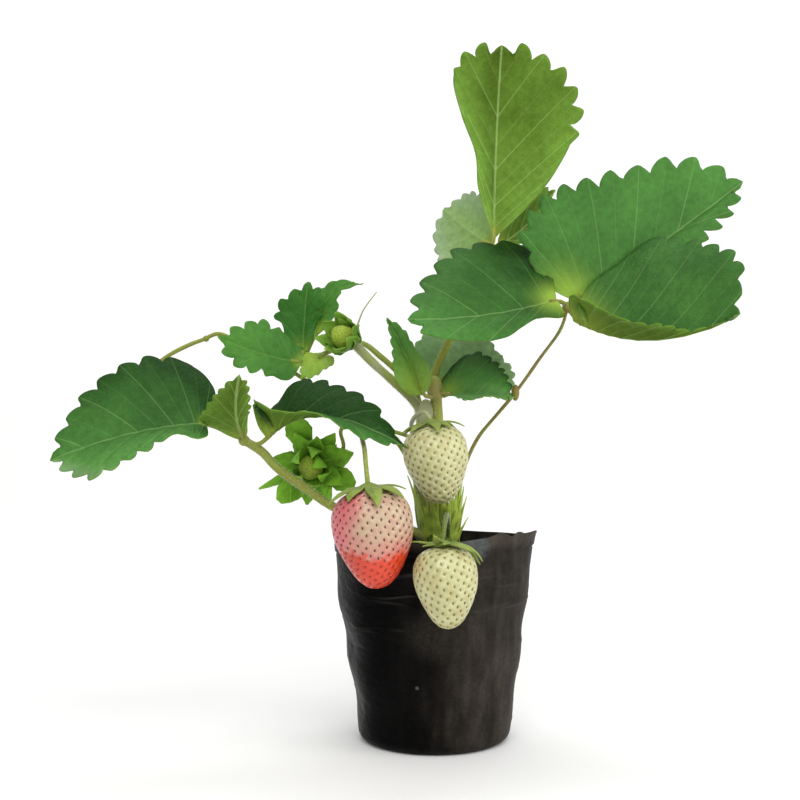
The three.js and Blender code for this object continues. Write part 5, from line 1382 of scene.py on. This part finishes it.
def build_calyces():
    """Calyces of the berries and of the young fruits, each with its cap."""
    ripe = sepal_material("sepal_green_grown", linear("#4a6020"), linear("#8b9d48"))
    for name, sizes in SHOULDER_CALYCES.items():
        sheets = list(shoulder_sheets(BERRIES[name], sizes))
        make_sepals(f"calyx_of_{name}", sheets, ripe, sizes["node"], "stalk")
        make_cap(name, BERRIES[name], *RIPE_CAP, ripe, sizes["node"])
    for name, spread in SPREAD_CALYCES.items():
        fresh = sepal_material(f"sepal_of_{name}", *(linear(colour) for colour in spread["colours"]))
        sheets = list(spread_sheets(BERRIES[name], spread))
        make_sepals(f"calyx_of_{name}", sheets, fresh, spread["node"], "stalk")
        make_cap(name, BERRIES[name], *YOUNG_CAP, fresh, spread["node"])


def ripeness(name, points, close):
    """Red, pink and pit fields of a berry; the pit field paints shade in the pits round the seeds. The
    blushed berry turns red about its ripe edge, and is pink near that edge and towards its left shoulder. The
    others stay pale."""
    x, z = points[:, 0], points[:, 2]
    if name != "berry_blush":
        return np.stack([0 * x, 0 * x, close], -1)
    line = np.interp(x, *zip(*RIPE_LINE))
    red = 0.5 + (line - z) / RIPE_CHANGE
    near = 0.5 * bell(np.maximum(z - line, 0), PINK_REACH)
    left = ease(-(x - SHOULDER_X) * 0.9 + (z - SHOULDER_Z) * 0.35, 0.5, 10)
    return np.stack([red, np.clip(0.05 + near + 0.9 * left, 0, 1), close], -1)


def build_berries(settings):
    """Three large berries and two young fruits, each with its seeds."""
    cream, pink, red = ((*colour, 1) for colour in (settings.cream, settings.pink, settings.red))
    white = flesh_material("strawberry_flesh_unripe", cream, linear("#b4b47c"), pink, red)
    blush = flesh_material("strawberry_flesh_blushed", linear("#bba686"), linear("#b69a80"), pink, red)
    unripe = flesh_material("young_fruit_flesh", linear("#9fb83e"), linear("#86a034"), pink, red,
                            roughness=0.5, gloss=0.2, coat=0.0)
    dark = seed_material("seed_ripe_brown", linear("#4a221a"), linear("#7a3a2a"))
    pale = seed_material("seed_unripe_olive", linear("#716b36"), linear("#938e50"))
    for name, berry in BERRIES.items():
        if berry["radius"] < YOUNG_RADIUS:
            gap, pit, size, rows, sides, flesh = YOUNG_SEED_GAP, YOUNG_PIT, YOUNG_SEED_SIZE, 40, 60, unripe
        else:
            gap, pit, size, rows, sides = settings.seed_gap / MM, settings.pit / MM, SEED_SIZE, 120, 168
            flesh = blush if name == "berry_blush" else white
        points, faces, close = berry_skin(berry, gap, pit, rows, sides)
        make_piece(f"{name}_flesh", points, faces, [flesh], berry["slot"], [name],
                   {"ripeness": ripeness(name, points, close)})
        seeds, seed_faces = berry_seeds(berry, gap, pit, size)
        seed = dark if name == "berry_blush" else pale
        make_piece(f"{name}_seeds", seeds, seed_faces, [seed], berry["slot"], [name],
                   {"ripeness": ripeness(name, seeds, np.zeros(len(seeds)))})


def build_crown():
    """Crown with its stipules, each split into two strands."""
    make_piece("crown_body", *crown_body(), [crown_material()], "crown_tissue", ["crown"])
    skin = sepal_material("stipule_papery", linear("#3a5a0e"), linear("#b0c650"))
    strands = [(turn + aside, length / shorter, width * STRAND_WIDTH, STRAND_LEAN * lean)
               for turn, length, width, lean in STIPULES for aside, shorter in STRAND_TURNS]
    make_sepals("crown_stipules", [stipule(*sizes) for sizes in [*strands, *SHOOTS]], skin, "crown",
                "crown_tissue")


def build_bag(settings):
    """Grow bag of black film."""
    points, faces, marks = bag_shell(settings.film / MM, settings.crease / MM, settings.hem / MM)
    film = film_material((*settings.black, 1), (*settings.dust, 1))
    make_piece("grow_bag_film", points, faces, [film], "nursery_film", ["grow_bag"], {"marks": marks})


def build_soil(settings):
    """Soil and its loose crumbs."""
    mix = soil_material((*settings.brown, 1))
    crumbs = soil_crumbs(settings.crumb / MM, settings.crumbs)
    make_piece("soil_bed", *soil_surface(), [mix], "potting_mix", ["soil"])
    make_piece("soil_crumbs", *crumbs, [mix], "potting_mix", ["soil"])


# Stage

CAMERA_PLACE = (-0.0148, -0.520, 0.138)
CAMERA_LENS, SENSOR_WIDTH = 57.07, 36  # millimetres
DAYLIGHT = 0.6
# Floor, in millimetres: rows in front of its bend, where the bend starts, its radius, the height of the
# backdrop and half the width
FLOOR_ROWS = [-2500, -600, 0, 900]
BEND_START, BEND_RADIUS, BACKDROP_HEIGHT, FLOOR_HALF_WIDTH = 1200, 500, 3000, 3000


def add_area_light(name, place, target, size, power, colour):
    """Large soft light at a place, turned to a target."""
    data = bpy.data.lights.new(name, "AREA")
    data.shape, data.size, data.energy, data.color = "DISK", size, power, colour
    light = bpy.data.objects.new(name, data)
    light.location = place
    away = np.subtract(place, target)
    light.rotation_euler = (math.atan2(math.hypot(away[0], away[1]), away[2]), 0,
                            math.atan2(away[0], -away[1]))
    bpy.context.scene.collection.objects.link(light)


def build_stage(settings):
    """Pale floor that curves up into a backdrop, soft lights, and the camera at the photograph's view."""
    bend = np.linspace(0, np.pi / 2, 12)
    far = np.concatenate([FLOOR_ROWS, BEND_START + BEND_RADIUS * np.sin(bend),
                          [BEND_START + BEND_RADIUS] * 2])
    high = np.concatenate([[0] * len(FLOOR_ROWS), BEND_RADIUS * (1 - np.cos(bend)),
                           [BACKDROP_HEIGHT / 2, BACKDROP_HEIGHT]])
    wide = np.linspace(-FLOOR_HALF_WIDTH, FLOOR_HALF_WIDTH, 5)
    points = np.stack(np.broadcast_arrays(wide[None], far[:, None], high[:, None]), -1).reshape(-1, 3)
    mesh = bpy.data.meshes.new("floor_and_backdrop")
    mesh.from_pydata((points * MM).tolist(), [], [f[::-1] for f in sheet_faces(len(far), len(wide))])
    mesh.polygons.foreach_set("use_smooth", np.ones(len(mesh.polygons), bool))
    material, add = new_material("studio_paper")
    finish_surface(add, {"Base Color": (*settings.floor, 1), "Roughness": 0.9, "Specular IOR Level": 0.1})
    mesh.materials.append(material)
    floor = bpy.data.objects.new("floor_and_backdrop", mesh)
    bpy.context.scene.collection.objects.link(floor)
    plant = (0, 0, 0.14)
    add_area_light("key_above_front", (0.1, -0.95, 0.9), plant, 1.1, settings.key_power, (1, 1, 1))
    add_area_light("fill_at_right", (1.1, -0.45, 0.45), plant, 0.8, settings.fill_power, (1, 0.98, 0.96))
    add_area_light("backdrop_wash", (0, 0.45, 1.5), (0, 1.7, 0.35), 1.0, settings.wash_power, (1, 1, 1))
    world = bpy.data.worlds.new("soft_daylight")
    world.use_nodes = True
    world.node_tree.nodes["Background"].inputs["Color"].default_value = (1, 1, 1, 1)
    world.node_tree.nodes["Background"].inputs["Strength"].default_value = DAYLIGHT
    bpy.context.scene.world = world
    camera = bpy.data.objects.new("camera", bpy.data.cameras.new("camera"))
    camera.location, camera.rotation_euler = CAMERA_PLACE, (math.pi / 2, 0, 0)
    camera.data.lens, camera.data.sensor_width = CAMERA_LENS, SENSOR_WIDTH
    camera.data.clip_start, camera.data.clip_end = 0.01, 20
    bpy.context.scene.collection.objects.link(camera)
    bpy.context.scene.camera = camera
    bpy.context.scene.view_settings.view_transform = "Standard"


# Operators

class MakeStage(bpy.types.Operator):
    """Sets the floor, the lights and the camera"""
    bl_idname, bl_label = "strawberry.make_stage", "Stage"

    def execute(self, context):
        build_stage(context.scene.strawberry_stage)
        return {"FINISHED"}


class MakeBag(bpy.types.Operator):
    """Makes the black grow bag"""
    bl_idname, bl_label = "strawberry.make_bag", "Grow bag"

    def execute(self, context):
        build_bag(context.scene.strawberry_bag)
        return {"FINISHED"}


class MakeSoil(bpy.types.Operator):
    """Makes the soil and its crumbs"""
    bl_idname, bl_label = "strawberry.make_soil", "Soil"

    def execute(self, context):
        build_soil(context.scene.strawberry_soil)
        return {"FINISHED"}


class MakeCrown(bpy.types.Operator):
    """Makes the crown with its stipules"""
    bl_idname, bl_label = "strawberry.make_crown", "Crown"

    def execute(self, context):
        build_crown()
        return {"FINISHED"}


class MakeLeaves(bpy.types.Operator):
    """Makes the blades and petioles of the five leaves"""
    bl_idname, bl_label = "strawberry.make_leaves", "Leaves"

    def execute(self, context):
        build_leaves(context.scene.strawberry_leaves, context.scene.strawberry_stems)
        return {"FINISHED"}


class MakeStalks(bpy.types.Operator):
    """Makes the fruit stalks and the runner"""
    bl_idname, bl_label = "strawberry.make_stalks", "Stalks"

    def execute(self, context):
        build_stalks(context.scene.strawberry_stems)
        return {"FINISHED"}


class MakeCalyces(bpy.types.Operator):
    """Makes the sepals and caps of the berries"""
    bl_idname, bl_label = "strawberry.make_calyces", "Calyces"

    def execute(self, context):
        build_calyces()
        return {"FINISHED"}


class MakeBerries(bpy.types.Operator):
    """Makes the berries and the young fruits with their seeds"""
    bl_idname, bl_label = "strawberry.make_berries", "Berries"

    def execute(self, context):
        build_berries(context.scene.strawberry_berries)
        return {"FINISHED"}


SETTINGS = {"strawberry_stage": StageSettings, "strawberry_bag": BagSettings,
            "strawberry_soil": SoilSettings, "strawberry_leaves": LeafSettings,
            "strawberry_stems": StemSettings, "strawberry_berries": BerrySettings}
OPERATORS = (MakeStage, MakeBag, MakeSoil, MakeCrown, MakeLeaves, MakeStalks, MakeCalyces, MakeBerries)


class StrawberryPanel(bpy.types.Panel):
    """Lists the plant's settings and the steps that make it"""
    bl_idname, bl_label = "VIEW3D_PT_strawberry", "Potted strawberry plant"
    bl_space_type, bl_region_type, bl_category = "VIEW_3D", "UI", "Strawberry"

    def draw(self, context):
        for operator in OPERATORS:
            self.layout.operator(operator.bl_idname)
        for group, kind in SETTINGS.items():
            box = self.layout.box()
            for name in kind.__annotations__:
                box.prop(getattr(context.scene, group), name)


def register():
    for kind in (*SETTINGS.values(), *OPERATORS, StrawberryPanel):
        bpy.utils.register_class(kind)
    for group, kind in SETTINGS.items():
        setattr(bpy.types.Scene, group, bpy.props.PointerProperty(type=kind))


def unregister():
    for group in SETTINGS:
        delattr(bpy.types.Scene, group)
    for kind in (StrawberryPanel, *OPERATORS, *SETTINGS.values()):
        bpy.utils.unregister_class(kind)


def main():
    register()
    bpy.ops.strawberry.make_stage()
    bpy.ops.strawberry.make_bag()
    bpy.ops.strawberry.make_soil()
    bpy.ops.strawberry.make_crown()
    bpy.ops.strawberry.make_leaves()
    bpy.ops.strawberry.make_stalks()
    bpy.ops.strawberry.make_calyces()
    bpy.ops.strawberry.make_berries()


if __name__ == "__main__":
    main()
